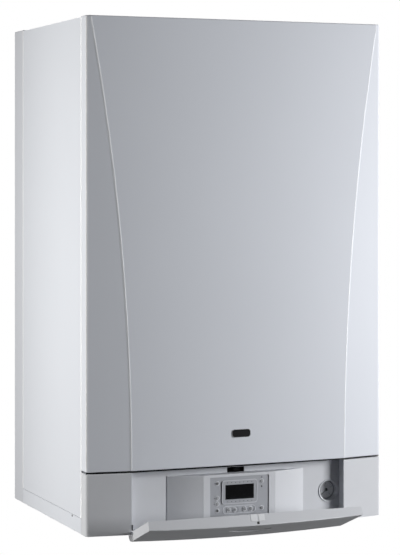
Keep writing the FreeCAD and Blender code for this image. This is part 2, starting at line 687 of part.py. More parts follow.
# Push buttons: a cap with a domed end and a collar that keeps it behind the plate.
for label, x, z in buttons:
    button = body(label)
    shank = "(unit_plate + button_proud - 0.8)"
    revolve(button, ("0", "-1"), ("button_radius + 1", "-1"), ("button_radius + 1", "0"),
            ("button_radius", "0"), ("button_radius", shank),
            ("button_radius - 0.6", f"{shank} + 0.6"), ("0", f"{shank} + 0.8"))
    stand(button, x, unit_back, z, forward=True)

board_gap = "(button_travel + 1.5)"
block("display_board", (f"-{console_open} + slip", f"{console_open} - slip"),
      (f"{unit_back} - {board_gap} - 1.6", f"{unit_back} - {board_gap}"),
      ("unit_middle - unit_height / 2 + unit_ledge + slip",
       "unit_middle + unit_height / 2 - unit_ledge - slip"))

# Pressure gauge: can with a rim on the fascia, sunken dial, needle on a spindle, and lens.
gauge_bore = "(gauge_radius - gauge_wall)"
can = body("gauge_can")
revolve(can, ("0", "-gauge_length"), ("gauge_radius", "-gauge_length"), ("gauge_radius", "0"),
        ("gauge_rim", "0"), ("gauge_rim", "gauge_bead / 2"), ("gauge_rim - gauge_bead / 2", "gauge_bead"),
        (f"{gauge_bore} + gauge_bead / 2", "gauge_bead"), (gauge_bore, "gauge_bead / 2"),
        (gauge_bore, "-dial_depth - 1"), ("0", "-dial_depth - 1"))
stand(can, gauge_x, fascia, "gauge_height", forward=True)
dial = body("gauge_dial")
revolve(dial, ("0", "-dial_depth - 1"), (f"{gauge_bore} - slip", "-dial_depth - 1"),
        (f"{gauge_bore} - slip", "-dial_depth"), ("0.8", "-dial_depth"), ("0.8", "-dial_depth + 3.2"),
        ("0", "-dial_depth + 3.2"))
stand(dial, gauge_x, fascia, "gauge_height", forward=True)
lens = body("gauge_lens")
revolve(lens, ("0", "-dial_depth + 5"), (f"{gauge_bore} - slip", "-dial_depth + 5"),
        (f"{gauge_bore} - slip", "-dial_depth + 6.5"), ("0", "-dial_depth + 6.5"))
stand(lens, gauge_x, fascia, "gauge_height", forward=True)
needle = body("gauge_needle")
drawing = sketch(needle, "XY_Plane", "1")
ring(drawing, "0", "0", "2.6")
ring(drawing, "0", "0", "0.8 + running")
pad(needle, drawing, "2")
drawing = sketch(needle, "XY_Plane", "1.4")
loop(drawing, ("2", "-0.9"), ("needle_length", "-0.35"), ("needle_length", "0.35"), ("2", "0.9"))
pad(needle, drawing, "1")
upright, pointing = Rotation(Vector(1, 0, 0), 90), Rotation(Vector(0, 0, 1), value("needle_rest"))
needle.Placement = Placement(Vector(), upright * pointing)
needle.setExpression("Placement.Base.x", bound(gauge_x))
needle.setExpression("Placement.Base.y", bound(f"-({fascia} - dial_depth)"))
needle.setExpression("Placement.Base.z", bound("gauge_height"))

# Flap: a shallow tray with a bowed face, drawn closed about its hinge axis and then swung open.
flap = body("control_flap")
drawing = sketch(flap, "XY_Plane", "flap_low - hinge_height")
bow_radius = f"(({flap_half} ^ 2 + flap_crown ^ 2) / (2 * flap_crown))"
rim = "(hinge_back - flap_flange)"
loop(drawing, (f"-{flap_half}", f"-{rim}"), (f"-{flap_half}", "-hinge_back", bow_radius, 1),
     (flap_half, "-hinge_back"), (flap_half, f"-{rim}"))
tray_pad = pad(flap, drawing, "flap_high - flap_low")
low_z, high_z = value("flap_low - hinge_height"), value("flap_high - hinge_height")
rolled = fillet(flap, tray_pad, lambda box: near(box.ZMax, low_z) and box.XLength > 20
                and box.YMin < -value("hinge_back"), "flap_round")
hollow = flap.newObject("PartDesign::Thickness", "control_flap_shell")
rear_face = [f"Face{index}" for index, face in enumerate(rolled.Shape.Faces, start=1)
             if near(face.BoundBox.YMin, face.BoundBox.YMax)]
hollow.Base = (rolled, rear_face)
hollow.setExpression("Value", bound("flap_wall"))
hollow.Reversed = True
doc.recompute()
fillet(flap, hollow, lambda box: near(box.ZMin, high_z) and box.XLength > 20
       and box.YMin < -value("hinge_back") - 1, "1.5")
for offset in (f"-{flap_half}", f"{flap_half} - ear_width"):
    drawing = sketch(flap, "YZ_Plane", offset)
    loop(drawing, ("0", "ear_radius"), (f"-{rim} - flap_wall", "ear_radius + 6"),
         (f"-{rim} - flap_wall", "-ear_radius + 1"), ("0", "-ear_radius", "ear_radius + 0.0001", 1))
    ring(drawing, "0", "0", "pin_radius + running")
    pad(flap, drawing, "ear_width")
drawing = sketch(flap, "XY_Plane", "flap_high - hinge_height")
for left, right in (("-tongue_half", "-1.5"), ("1.5", "tongue_half")):
    rectangle(drawing, left, f"-{rim} - 13", right, f"-{rim} + 1")
pocket(flap, drawing, "flap_wall / 2")
drawing = sketch(flap, "XY_Plane", "flap_high - hinge_height")
rectangle(drawing, "-2.5", "-hinge_back - 2.5", "2.5", "-hinge_back + 2.5")
pocket(flap, drawing, "flap_wall")
drawing = sketch(flap, "XZ_Plane", "hinge_back + flap_crown")
grip_arc = "((grip_half ^ 2 + grip_rise ^ 2) / (2 * grip_rise))"
loop(drawing, ("-grip_half", "grip_height", grip_arc, 1), ("grip_half", "grip_height", grip_arc, 1))
pocket(flap, drawing, "grip_depth")
flap.Placement = Placement(Vector(), Rotation(Vector(1, 0, 0), value("flap_open")))
flap.setExpression("Placement.Rotation.Angle", bound("flap_open"))
stand(flap, "0", hinge, "hinge_height")

pins = []
for label, low, high in (("left_pin", "-(crease_foot + moulding + 3)", f"-({flap_half} - ear_width)"),
                         ("right_pin", f"{flap_half} - ear_width", "crease_foot + moulding + 3")):
    pins.append(rod(label, "X", (hinge, "hinge_height"), (low, high), "pin_radius"))
group("flap_hinge_pins", *pins)

# Catch: a hollow box behind the fascia's opening, with a spring tongue that reaches under the flap's rim.
catch_box = block("catch_box", ("-catch_half + slip", "catch_half - slip"),
                  (f"{fascia_back} - 16", f"{fascia} - 1"), ("catch_low + slip", "catch_high - slip"))
catch_slot = block("catch_slot", ("-tongue_half - 2", "tongue_half + 2"),
                   (f"{fascia_back} - 12", fascia), ("catch_low + 2", "catch_high - 2"))
tongue = block("catch_tongue", ("-tongue_half / 2", "tongue_half / 2"),
               (f"{fascia_back} - 13", f"{fascia} + 6"), ("catch_high - 5.5", "catch_high - 4"))
nib = block("catch_nib", ("-tongue_half / 2", "tongue_half / 2"), (f"{fascia} + 3", f"{fascia} + 5"),
            ("catch_high - 4.5", "catch_high - 2.5"))
join("flap_catch", cut("catch_shell", catch_box, catch_slot), tongue, nib)

# Control box behind the fascia.
block("main_board", ("-188", "158"), (f"{fascia_back} - 8.6", f"{fascia_back} - 7"), ("22", "96"))
cover_half = "(crease_foot + 8)"
cover_outer = block("cover_outer", (f"-{cover_half}", cover_half),
                    (f"{fascia_back} - cover_depth", fascia_back),
                    (f"{ear_room} + 2", "control_height - moulding - 0.5"))
cover_inner = block("cover_inner", (f"-{cover_half} + 2", f"{cover_half} - 2"),
                    (f"{fascia_back} - cover_depth + 2", f"{fascia_back} + 1"),
                    (f"{ear_room} + 4", "control_height - moulding - 1.6"))
cut("control_box_cover", cover_outer, cover_inner)

# Storage tank with a flat foot, domed ends and the stubs of its heating coil.
tank = body("storage_tank")
dome = "((tank_radius ^ 2 + tank_dome ^ 2) / (2 * tank_dome))"
revolve(tank, ("0", "tank_low"), ("tank_radius - tank_dome", "tank_low", "tank_dome + 0.0001", 1),
        ("tank_radius", "tank_low + tank_dome"), ("tank_radius", f"{tank_high} - tank_dome", f"{dome}", 1),
        ("0", tank_high), ("0", f"{tank_high} - tank_wall"),
        ("tank_radius - tank_wall", f"{tank_high} - tank_dome - tank_wall"),
        ("tank_radius - tank_wall", "tank_low + tank_dome"),
        ("tank_radius - tank_dome", "tank_low + tank_wall"),
        ("0", "tank_low + tank_wall"))
stub_end = "(tank_radius + 9)"
for y, z in (("0", "pump_height + 90"), ("coil_offset", "pump_height + 20")):
    drawing = sketch(tank, "YZ_Plane", stub_end)
    ring(drawing, y, z, "pipe_radius + 3")
    pad(tank, drawing, f"{stub_end} - sqrt(tank_radius ^ 2 - ({y} + pipe_radius + 3) ^ 2) + 1", backward=True)
drawing = sketch(tank, "XY_Plane", f"{tank_high} + 8")
ring(drawing, "0", "0", "pipe_radius + 3")
pad(tank, drawing, "9", backward=True)
stand(tank, tank_x, pipe_row, "0")

shelf = body("tank_shelf")
drawing = sketch(shelf, "YZ_Plane", f"{tank_x} - tank_radius * 0.7")
loop(drawing, ("-sheet_gauge", "tank_low"), (f"-({pipe_row} + tank_radius * 0.6)", "tank_low"),
     (f"-({pipe_row} + tank_radius * 0.6)", "tank_low - 2.5"), ("-sheet_gauge - 2.5", "tank_low - 2.5"),
     ("-sheet_gauge - 2.5", "tank_low - 90"), ("-sheet_gauge", "tank_low - 90"))
pad(shelf, drawing, "tank_radius * 1.4")
for offset in (f"{tank_x} - tank_radius * 0.7", f"{tank_x} + tank_radius * 0.7 - 2.5"):
    drawing = sketch(shelf, "YZ_Plane", offset)
    loop(drawing, ("-sheet_gauge - 1", "tank_low - 1"),
         (f"-({pipe_row} + tank_radius * 0.4)", "tank_low - 1"),
         ("-sheet_gauge - 1", "tank_low - 85"))
    pad(shelf, drawing, "2.5")
drawing = sketch(shelf, "XY_Plane", "tank_low")
ring(drawing, cold_x, f"-{pipe_row}", "pipe_radius + 2")
pocket(shelf, drawing, "2.5")

vessel_x = f"({half} - 24 - vessel_radius)"
vessel = body("expansion_vessel")
revolve(vessel, ("0", "0"), ("vessel_radius * 0.6", "0"), ("vessel_radius", "vessel_depth * 0.3"),
        ("vessel_radius", "vessel_depth * 0.45"), ("vessel_radius + 4", "vessel_depth * 0.46"),
        ("vessel_radius + 4", "vessel_depth * 0.52"), ("vessel_radius", "vessel_depth * 0.53"),
        ("vessel_radius", "vessel_depth * 0.7"), ("vessel_radius * 0.6", "vessel_depth"),
        ("0", "vessel_depth"),
        ("0", "vessel_depth - 2"), ("vessel_radius * 0.6 - 1", "vessel_depth - 2"),
        ("vessel_radius - 2", "vessel_depth * 0.7"), ("vessel_radius - 2", "vessel_depth * 0.3"),
        ("vessel_radius * 0.6 - 1", "2"), ("0", "2"))
stand(vessel, vessel_x, "sheet_gauge", vessel_height, forward=True)

# Heat exchanger drum with its flue stub and water stubs, on a bracket from the back frame.
drum = body("heat_exchanger")
rear = f"({drum_rear})"
revolve(drum, ("0", rear), ("exchanger_radius", rear), ("exchanger_radius", f"{drum_front} - 6"),
        ("exchanger_radius + 10", f"{drum_front} - 6"), ("exchanger_radius + 10", drum_front),
        ("exchanger_radius - 6", drum_front), ("exchanger_radius - 6", f"{rear} + 6"), ("0", f"{rear} + 6"))
for x, depth in ((f"{flow_x} - {drum_x}", pipe_row), (f"{return_x} - {drum_x}", pipe_row),
                 (f"{trap_x} - {drum_x}", trap_row)):
    drawing = sketch(drum, "XZ_Plane", "exchanger_radius + 12")
    ring(drawing, x, depth, "pipe_radius + 3")
    length = f"exchanger_radius + 12 - sqrt((exchanger_radius - 3) ^ 2 - ({x}) ^ 2) + 4"
    pad(drum, drawing, length, backward=True)
drawing = sketch(drum, "XZ_Plane", "-(exchanger_radius + 12)")
ring(drawing, "0", pipe_row, "flue_radius + 6")
pad(drum, drawing, "22")
drawing = sketch(drum, "XZ_Plane", "-(exchanger_radius + 13)")
ring(drawing, "0", pipe_row, "flue_radius - 1.5")
pocket(drum, drawing, "40", forward=True)
stand(drum, drum_x, "0", exchanger_height, forward=True)

bracket_outer = block("bracket_outer", (f"{drum_x} - 60", f"{drum_x} + 60"), ("sheet_gauge", rear),
                      (f"{exchanger_height} - 45", f"{exchanger_height} + 45"))
bracket_inner = block("bracket_inner", (f"{drum_x} - 57", f"{drum_x} + 57"),
                      ("sheet_gauge + 3", f"{rear} - 3"),
                      (f"{exchanger_height} - 46", f"{exchanger_height} + 46"))
bracket = cut("exchanger_bracket", bracket_outer, bracket_inner)
group("frame_brackets", shelf, bracket)

door = body("burner_door")
revolve(door, ("burner_radius - 10", drum_front), ("exchanger_radius + 10", drum_front),
        ("exchanger_radius + 10", f"{door_face} - 4"), ("exchanger_radius", door_face),
        ("burner_radius - 10", door_face))
drawing = sketch(door, "XY_Plane", door_face)
ring(drawing, "62", "0", "4 + slip")
pocket(door, drawing, "door_thick")
stand(door, drum_x, "0", exchanger_height, forward=True)

burner = body("burner_tube")
tip = f"({drum_front} - burner_length)"
revolve(burner, ("0", tip), ("burner_radius", tip), ("burner_radius", f"{drum_front} - 3"),
        ("burner_radius + 14", f"{drum_front} - 3"), ("burner_radius + 14", drum_front),
        ("burner_radius - 1.5", drum_front), ("burner_radius - 1.5", f"{tip} + 1.5"), ("0", f"{tip} + 1.5"))
stand(burner, drum_x, "0", exchanger_height, forward=True)

electrode = body("ignition_electrode")
revolve(electrode, ("0", f"{drum_front} - 30"), ("1", f"{drum_front} - 30"), ("1", f"{drum_front} - 8"),
        ("4", f"{drum_front} - 8"), ("4", door_face), ("9", door_face), ("9", f"{door_face} + 3"),
        ("4", f"{door_face} + 3"), ("4", f"{door_face} + 22"), ("0", f"{door_face} + 22"))
stand(electrode, f"{drum_x} + 62", "0", exchanger_height, forward=True)

# Fan: housing open at the front, impeller on the motor's shaft, and the duct up to the door.
scroll = body("fan_housing")
revolve(scroll, ("3.2", fan_rear), ("fan_radius", fan_rear), ("fan_radius", fan_front), ("20", fan_front),
        ("20", f"{fan_front} - 4"), ("fan_radius - 4", f"{fan_front} - 4"),
        ("fan_radius - 4", f"{fan_rear} + 4"),
        ("3.2", f"{fan_rear} + 4"))
drawing = sketch(scroll, "XZ_Plane", "-(fan_radius + 14)")
ring(drawing, "0", fan_middle, "24")
pad(scroll, drawing, "24")
drawing = sketch(scroll, "XZ_Plane", "-(fan_radius + 15)")
ring(drawing, "0", fan_middle, "19")
pocket(scroll, drawing, "32", forward=True)
stand(scroll, drum_x, "0", fan_height, forward=True)

impeller = body("fan_impeller")
turn = revolve(impeller, ("0", f"{fan_rear} - 18"), ("3", f"{fan_rear} - 18"), ("3", f"{fan_rear} + 8"),
               ("fan_radius - 12", f"{fan_rear} + 8"), ("fan_radius - 12", f"{fan_rear} + 10"),
               ("9", f"{fan_rear} + 10"), ("7", f"{fan_rear} + 22"), ("0", f"{fan_rear} + 22"))
drawing = sketch(impeller, "XY_Plane", f"{fan_rear} + 9")
rectangle(drawing, "fan_radius - 28", "-0.8", "fan_radius - 12.5", "0.8")
blade = pad(impeller, drawing, "fan_width - 20")
ringed = impeller.newObject("PartDesign::PolarPattern", "fan_blades")
ringed.Originals = [blade]
ringed.Axis = (drawing, ["N_Axis"])
ringed.Angle = 360
ringed.setExpression("Occurrences", bound("blade_count"))
impeller.Tip = ringed
stand(impeller, drum_x, "0", fan_height, forward=True)

motor = body("fan_motor")
revolve(motor, ("0", f"{fan_rear} - 38"), ("30", f"{fan_rear} - 38"), ("34", f"{fan_rear} - 34"),
        ("34", fan_rear), ("3 + running", fan_rear), ("3 + running", f"{fan_rear} - 20"),
        ("0", f"{fan_rear} - 20"))
stand(motor, drum_x, "0", fan_height, forward=True)

bent_pipe("mixture_duct", "22", "2", "29", (drum_x, fan_middle, f"{fan_height} + fan_radius + 14"),
          (drum_x, fan_middle, exchanger_height), (drum_x, door_face, exchanger_height))

mixer = body("gas_mixer")
revolve(mixer, ("14", fan_front), ("26", fan_front), ("26", f"{fan_front} + 26"), ("20", f"{fan_front} + 26"))
drawing = sketch(mixer, "XZ_Plane", "32")
ring(drawing, "0", valve_middle, "9")
pad(mixer, drawing, "9", backward=True)
drawing = sketch(mixer, "XZ_Plane", "31")
ring(drawing, "0", valve_middle, "6")
pad(mixer, drawing, "38")
stand(mixer, drum_x, "0", fan_height, forward=True)

gas_top = f"({fan_height} - 75)"
valve_block = block("valve_block", (f"{valve_x} - 32", f"{valve_x} + 32"),
                    (f"{valve_middle} - 24", f"{valve_middle} + 24"), (f"{gas_top} - 70", gas_top))
valve_coil = rod("valve_coil", "X", (valve_middle, f"{gas_top} - 30"),
                 (f"{valve_x} - 56", f"{valve_x} - 31"), "17")
valve_neck = rod("valve_neck", "Z", (valve_x, valve_middle), (f"{gas_top} - 1", f"{gas_top} + 6"), "10")
join("gas_valve", valve_block, valve_coil, valve_neck)
bent_pipe("gas_pipe", "pipe_radius", "pipe_wall", "24", (gas_x, pipe_row, "nipple_top"),
          (gas_x, pipe_row, "nipple_top + 75"), (valve_x, valve_middle, "nipple_top + 75"),
          (valve_x, valve_middle, f"{gas_top} - 70"))

# Flue: duct from the drum to the collar on the top panel, whose outer ring lets the air in.
collar_foot = "(case_height - 34)"
tube("flue_duct", "Z", (drum_x, pipe_row), (f"{exchanger_height} + exchanger_radius + 12", collar_foot),
     "flue_radius + 1", "2.5")
collar = body("flue_collar")
collar_seat = "(case_height - panel_drop)"
revolve(collar, ("air_radius", collar_seat), ("air_radius + 24", collar_seat),
        ("air_radius + 24", f"{collar_seat} + 2.5"), ("air_radius + 2.5", f"{collar_seat} + 2.5"),
        ("air_radius + 2.5", f"{collar_seat} + 16"), ("air_radius", f"{collar_seat} + 16"))
drawing = sketch(collar, "XY_Plane", collar_seat)
for angle in (0, 120, 240):
    along, across = math.cos(math.radians(angle)), math.sin(math.radians(angle))
    corners = []
    for reach, side in (("flue_radius + 1.5", -1.5), ("air_radius + 1", -1.5),
                        ("air_radius + 1", 1.5), ("flue_radius + 1.5", 1.5)):
        corners.append((f"({reach}) * {along:.6f} - {side * across:.6f}",
                        f"({reach}) * {across:.6f} + {side * along:.6f}"))
    loop(drawing, *corners)
pad(collar, drawing, "10")
drawing = sketch(collar, "XY_Plane", collar_foot)
ring(drawing, "0", "0", "flue_radius + 2")
pad(collar, drawing, f"{collar_seat} + 16 - {collar_foot}")
drawing = sketch(collar, "XY_Plane", f"{collar_seat} + 16")
ring(drawing, "0", "0", "flue_radius")
pocket(collar, drawing, f"{collar_seat} + 16 - {collar_foot}")
drawing = sketch(collar, "XY_Plane", collar_seat)
for side_x in (-1, 1):
    for side_y in (-1, 1):
        ring(drawing, f"{side_x} * 48", f"{side_y} * 48", "2.4")
pocket(collar, drawing, "3", forward=True)
stand(collar, drum_x, pipe_row, "0")
screws = []
for index, (side_x, side_y) in enumerate(((-1, -1), (-1, 1), (1, -1), (1, 1))):
    at = (f"{drum_x} + {side_x} * 48", f"{pipe_row} + {side_y} * 48")
    head = rod(f"screw_head_{index}", "Z", at, (f"{collar_seat} + 2.5", f"{collar_seat} + 5"), "4.2")
    shank = rod(f"screw_shank_{index}", "Z", at, (f"{collar_seat} - 8", f"{collar_seat} + 3"), "2.1")
    screws.append(join(f"screw_{index}", head, shank))
group("collar_screws", *screws)

# Condensate trap with its drain through the base.
trap_cup = rod("trap_cup", "Z", (trap_x, trap_row), ("60", "200"), "22")
trap_cap = rod("trap_cap", "Z", (trap_x, trap_row), ("198", "212"), "25")
trap_spout = rod("trap_spout", "Z", (trap_x, trap_row), ("-nipple_reach", "61"), "pipe_radius")
trap_collar = rod("trap_collar", "Z", (trap_x, trap_row), ("-6", "0"), "16")
trap_hose = rod("trap_hose", "Z", (trap_x, trap_row), ("210", drum_foot), "pipe_radius")
join("condensate_trap", trap_cup, trap_cap, trap_spout, trap_collar, trap_hose)

# Water side: pump, diverter valve, pipes and the nipples in one row through the base.
casing = rod("pump_casing", "Y", (return_x, "pump_height"), (f"{pipe_row} - 25", f"{pipe_row} + 25"), "42")
riser = rod("pump_riser", "Z", (return_x, pipe_row), ("nipple_top", "pump_height + 60"), "14")
inlet = rod("pump_inlet", "Y", (return_x, "pump_height + 20"), (f"{pipe_row} - 34", f"{pipe_row}"), "12")
relief = rod("pump_relief", "X", (pipe_row, "pump_height - 90"), (return_x, f"{return_x} + 26"), "9")
join("pump_body", casing, riser, inlet, relief)
drive = body("pump_motor")
revolve(drive, ("0", "0"), ("38", "0"), ("38", "66"), ("30", "74"), ("0", "74"))
stand(drive, return_x, f"{pipe_row} + 25", "pump_height", forward=True)
seat = rod("relief_seat", "X", (pipe_row, "pump_height - 90"), (f"{return_x} + 26", f"{return_x} + 46"), "11")
cap = rod("relief_cap", "X", (pipe_row, "pump_height - 90"), (f"{return_x} + 45", f"{return_x} + 60"), "13")
join("safety_valve", seat, cap)

column = rod("diverter_column", "Z", (flow_x, pipe_row), ("nipple_top", "pump_height + 110"), "17")
branch = rod("diverter_branch", "X", (pipe_row, "pump_height + 90"), (f"{flow_x} - 30", flow_x), "12")
boss = block("diverter_boss", (f"{flow_x} - 14", f"{flow_x} + 14"), (pipe_row, f"{pipe_row} + 22"),
             ("pump_height + 10", "pump_height + 50"))
join("diverter_valve", column, branch, boss)
block("diverter_motor", (f"{flow_x} - 24", f"{flow_x} + 24"), (f"{pipe_row} + 22", f"{pipe_row} + 70"),
      ("pump_height", "pump_height + 62"))

flow_pipe = tube("flow_pipe", "Z", (flow_x, pipe_row), ("pump_height + 110", drum_foot),
                 "pipe_radius", "pipe_wall")
return_pipe = tube("return_pipe", "Z", (return_x, pipe_row), ("pump_height + 60", drum_foot),
                   "pipe_radius", "pipe_wall")
group("heating_pipes", flow_pipe, return_pipe)
coil_flow = tube("coil_flow_pipe", "X", (pipe_row, "pump_height + 90"),
                 (f"{tank_x} + {stub_end}", f"{flow_x} - 30"), "pipe_radius", "pipe_wall")
coil_row = f"({pipe_row} - coil_offset)"
coil_return = bent_pipe("coil_return_pipe", "pipe_radius", "pipe_wall", "16",
                        (f"{tank_x} + {stub_end}", coil_row, "pump_height + 20"),
                        (return_x, coil_row, "pump_height + 20"),
                        (return_x, f"{pipe_row} - 34", "pump_height + 20"))
group("coil_pipes", coil_flow, coil_return)
cold_pipe = tube("cold_pipe", "Z", (cold_x, pipe_row), ("nipple_top", "tank_low"), "pipe_radius", "pipe_wall")
hot_row = f"({pipe_row} - 110)"
hot_pipe = bent_pipe("hot_pipe", "pipe_radius", "pipe_wall", "24", (tank_x, pipe_row, f"{tank_high} + 8"),
                     (tank_x, pipe_row, f"{tank_high} + 48"), (hot_x, hot_row, f"{tank_high} + 48"),
                     (hot_x, hot_row, "nipple_top + 60"), (hot_x, pipe_row, "nipple_top + 60"),
                     (hot_x, pipe_row, "nipple_top"))
group("tap_water_pipes", cold_pipe, hot_pipe)


def nipple(label, x, radius):
    thread = rod(label + "_thread", "Z", (x, pipe_row), ("-nipple_reach", "nipple_top"), radius)
    shoulder = rod(label + "_collar", "Z", (x, pipe_row), ("-6", "0"), f"{radius} + 5")
    bore = rod(label + "_bore", "Z", (x, pipe_row), ("-nipple_reach - 1", "nipple_top - 8"), f"{radius} - 3")
    return cut(label, join(label + "_solid", thread, shoulder), bore)


group("large_nipples", nipple("flow_nipple", flow_x, "nipple_large"),
      nipple("gas_nipple", gas_x, "nipple_large"), nipple("return_nipple", return_x, "nipple_large"))
group("small_nipples", nipple("cold_nipple", cold_x, "nipple_small"),
      nipple("hot_nipple", hot_x, "nipple_small"))

doc.recompute()
faults = []
for item in doc.Objects:
    if "Invalid" in item.State or "Error" in item.State:
        faults.append(f"{item.Label}: {item.State}")
for label, piece in nodes.items():
    if piece.Shape.isNull() or not piece.Shape.isValid() or not piece.Shape.Solids:
        faults.append(f"{label}: unsound shape")
if faults:
    raise SystemExit("\n".join(faults))
os.makedirs("parts", exist_ok=True)
for label, piece in nodes.items():
    piece.Shape.exportStep(f"parts/{label}.step")
print(len(nodes), "pieces written")
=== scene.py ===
import bpy
import bmesh
import json
import math
from mathutils import Matrix, Vector


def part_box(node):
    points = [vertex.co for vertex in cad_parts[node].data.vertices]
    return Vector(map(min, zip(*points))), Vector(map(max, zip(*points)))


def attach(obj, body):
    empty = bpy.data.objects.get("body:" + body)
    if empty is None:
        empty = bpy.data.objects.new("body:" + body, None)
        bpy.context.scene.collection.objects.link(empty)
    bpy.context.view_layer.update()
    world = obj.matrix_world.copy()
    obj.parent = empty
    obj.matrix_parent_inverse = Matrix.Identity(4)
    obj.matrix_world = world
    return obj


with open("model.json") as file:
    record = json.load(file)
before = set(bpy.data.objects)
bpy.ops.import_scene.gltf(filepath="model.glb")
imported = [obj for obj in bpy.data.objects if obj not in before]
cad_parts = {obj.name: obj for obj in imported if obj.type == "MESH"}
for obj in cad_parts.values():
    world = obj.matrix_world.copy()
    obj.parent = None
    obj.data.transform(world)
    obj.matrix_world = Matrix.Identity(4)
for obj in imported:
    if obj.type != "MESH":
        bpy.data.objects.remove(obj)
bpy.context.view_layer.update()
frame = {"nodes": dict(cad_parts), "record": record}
nodes = frame["nodes"]
mounts = {mount["name"]: mount for mount in frame["record"]["mounts"]}
joints = {joint["name"]: joint for joint in frame["record"]["behaviour"]["joints"]}
gaugeAxis = Vector(joints["needle_turn"]["pos_m"])
scene = bpy.context.scene
scene.view_settings.view_transform = "Standard"
print("frame: loaded", len(nodes), "nodes")


# Shader building

class Wire:  # a socket that takes Python's operators
    def __init__(self, finish, socket):
        self.finish = finish
        self.socket = socket

    def __add__(self, other):
        return self.finish.maths("ADD", self, other)

    def __radd__(self, other):
        return self.finish.maths("ADD", other, self)

    def __sub__(self, other):
        return self.finish.maths("SUBTRACT", self, other)

    def __rsub__(self, other):
        return self.finish.maths("SUBTRACT", other, self)

    def __mul__(self, other):
        return self.finish.maths("MULTIPLY", self, other)

    def __rmul__(self, other):
        return self.finish.maths("MULTIPLY", other, self)

    def __pow__(self, other):
        return self.finish.maths("POWER", self, other)

    def __gt__(self, other):
        return self.finish.maths("GREATER_THAN", self, other)

    def __lt__(self, other):
        return self.finish.maths("LESS_THAN", self, other)

    def swing(self, spread):  # noise about 0, as wide as the spread
        return (self - 0.5) * spread


class Finish:  # the nodes of one material, or of the world
    def __init__(self, name, kind="materials", place="Object"):
        self.owner = getattr(bpy.data, kind).new(name)
        self.owner.use_nodes = True
        self.tree = self.owner.node_tree
        self.tree.nodes.clear()
        self.place = self.node("ShaderNodeTexCoord", output=place)

    def node(self, kind, settings=None, values=None, output=0):
        made = self.tree.nodes.new(kind)
        for name, setting in (settings or {}).items():
            setattr(made, name, setting)
        for name, value in (values or {}).items():
            if isinstance(value, Wire):
                self.tree.links.new(value.socket, made.inputs[name])
            else:
                made.inputs[name].default_value = value
        return None if output is None else Wire(self, made.outputs[output])

    def maths(self, operation, *values):
        return self.node("ShaderNodeMath", {"operation": operation}, dict(enumerate(values)))

    def clampedSum(self, first, second):
        return self.node("ShaderNodeMath", {"operation": "ADD", "use_clamp": True}, {0: first, 1: second})

    def stretched(self, scale):  # object coordinates, stretched for brushed or drawn surfaces
        return self.node("ShaderNodeMapping", None, {"Vector": self.place, "Scale": scale})

    def speckle(self, scale, detail, place=None):
        return self.node("ShaderNodeTexNoise", None,
                         {"Vector": place or self.place, "Scale": scale, "Detail": detail})

    def cells(self, scale, output="Distance"):
        return self.node("ShaderNodeTexVoronoi", None, {"Vector": self.place, "Scale": scale}, output)

    def axes(self):
        parts = self.node("ShaderNodeSeparateXYZ", None, {"Vector": self.place})
        return [Wire(self, socket) for socket in parts.socket.node.outputs]

    def rays(self, *kinds):  # for each kind of ray, 1 where a ray is of that kind
        path = self.node("ShaderNodeLightPath").socket.node.outputs
        return [Wire(self, path["Is " + kind + " Ray"]) for kind in kinds]

    def blend(self, factor, first, second):
        return self.node("ShaderNodeMix", {"data_type": "RGBA"}, {0: factor, 6: first, 7: second}, 2)

    def band(self, value, low, high):  # 0 to 1 between two values, smooth
        return self.node("ShaderNodeMapRange", {"interpolation_type": "SMOOTHSTEP"},
                         {"Value": value, "From Min": low, "From Max": high})

    def bump(self, height, depth):
        return self.node("ShaderNodeBump", None, {"Height": height, "Distance": depth})

    def surface(self, **values):  # a Principled shader
        sockets = {"baseColor": "Base Color", "roughness": "Roughness", "metallic": "Metallic",
                   "alpha": "Alpha", "coatWeight": "Coat Weight", "coatRoughness": "Coat Roughness",
                   "specularIorLevel": "Specular IOR Level", "normal": "Normal"}
        return self.close(self.node("ShaderNodeBsdfPrincipled", None,
                                    {sockets[name]: value for name, value in values.items()}))

    def close(self, shader, kind="ShaderNodeOutputMaterial"):
        self.node(kind, None, {"Surface": shader}, None)
        return self.owner


# Painted sheet

paint = {"pale": (0.715, 0.742, 0.8, 1), "deep": (0.685, 0.712, 0.77, 1), "roughness": 0.52, "wiped": 0.08,
         "sheen": 0.1, "coat": 0.02, "coatRoughness": 0.3, "peelScale": 900.0, "peelDepth": 0.00004}
# a darker copy of the casing paint for the back frame: painted shade
frameShadedPaint = {**paint, "pale": (0.65, 0.67, 0.72, 1), "deep": (0.62, 0.64, 0.69, 1)}
# paler, glossier copies of the casing paint for the beads; their paler tone is a painted highlight
creaseHighlightPaint = {**paint, "pale": (0.78, 0.8, 0.84, 1), "deep": (0.75, 0.77, 0.81, 1), "roughness": 0.4,
               "sheen": 0.35}
edgeHighlightPaint = {**paint, "pale": (0.86, 0.87, 0.89, 1), "deep": (0.82, 0.83, 0.86, 1), "roughness": 0.25,
             "sheen": 1.0}


def sheetPaint(name, tones):
    made = Finish(name)
    drift = made.speckle(scale=4.0, detail=3.0)
    wiped = made.speckle(scale=45.0, detail=4.0)
    peel = made.speckle(tones["peelScale"], detail=1.0)
    return made.surface(baseColor=made.blend(drift, tones["pale"], tones["deep"]),
                        roughness=tones["roughness"] + wiped.swing(tones["wiped"]),
                        coatWeight=tones["coat"], coatRoughness=tones["coatRoughness"],
                        specularIorLevel=tones["sheen"], normal=made.bump(peel, tones["peelDepth"]))


# Moulded plastic, rubber, enamel and print

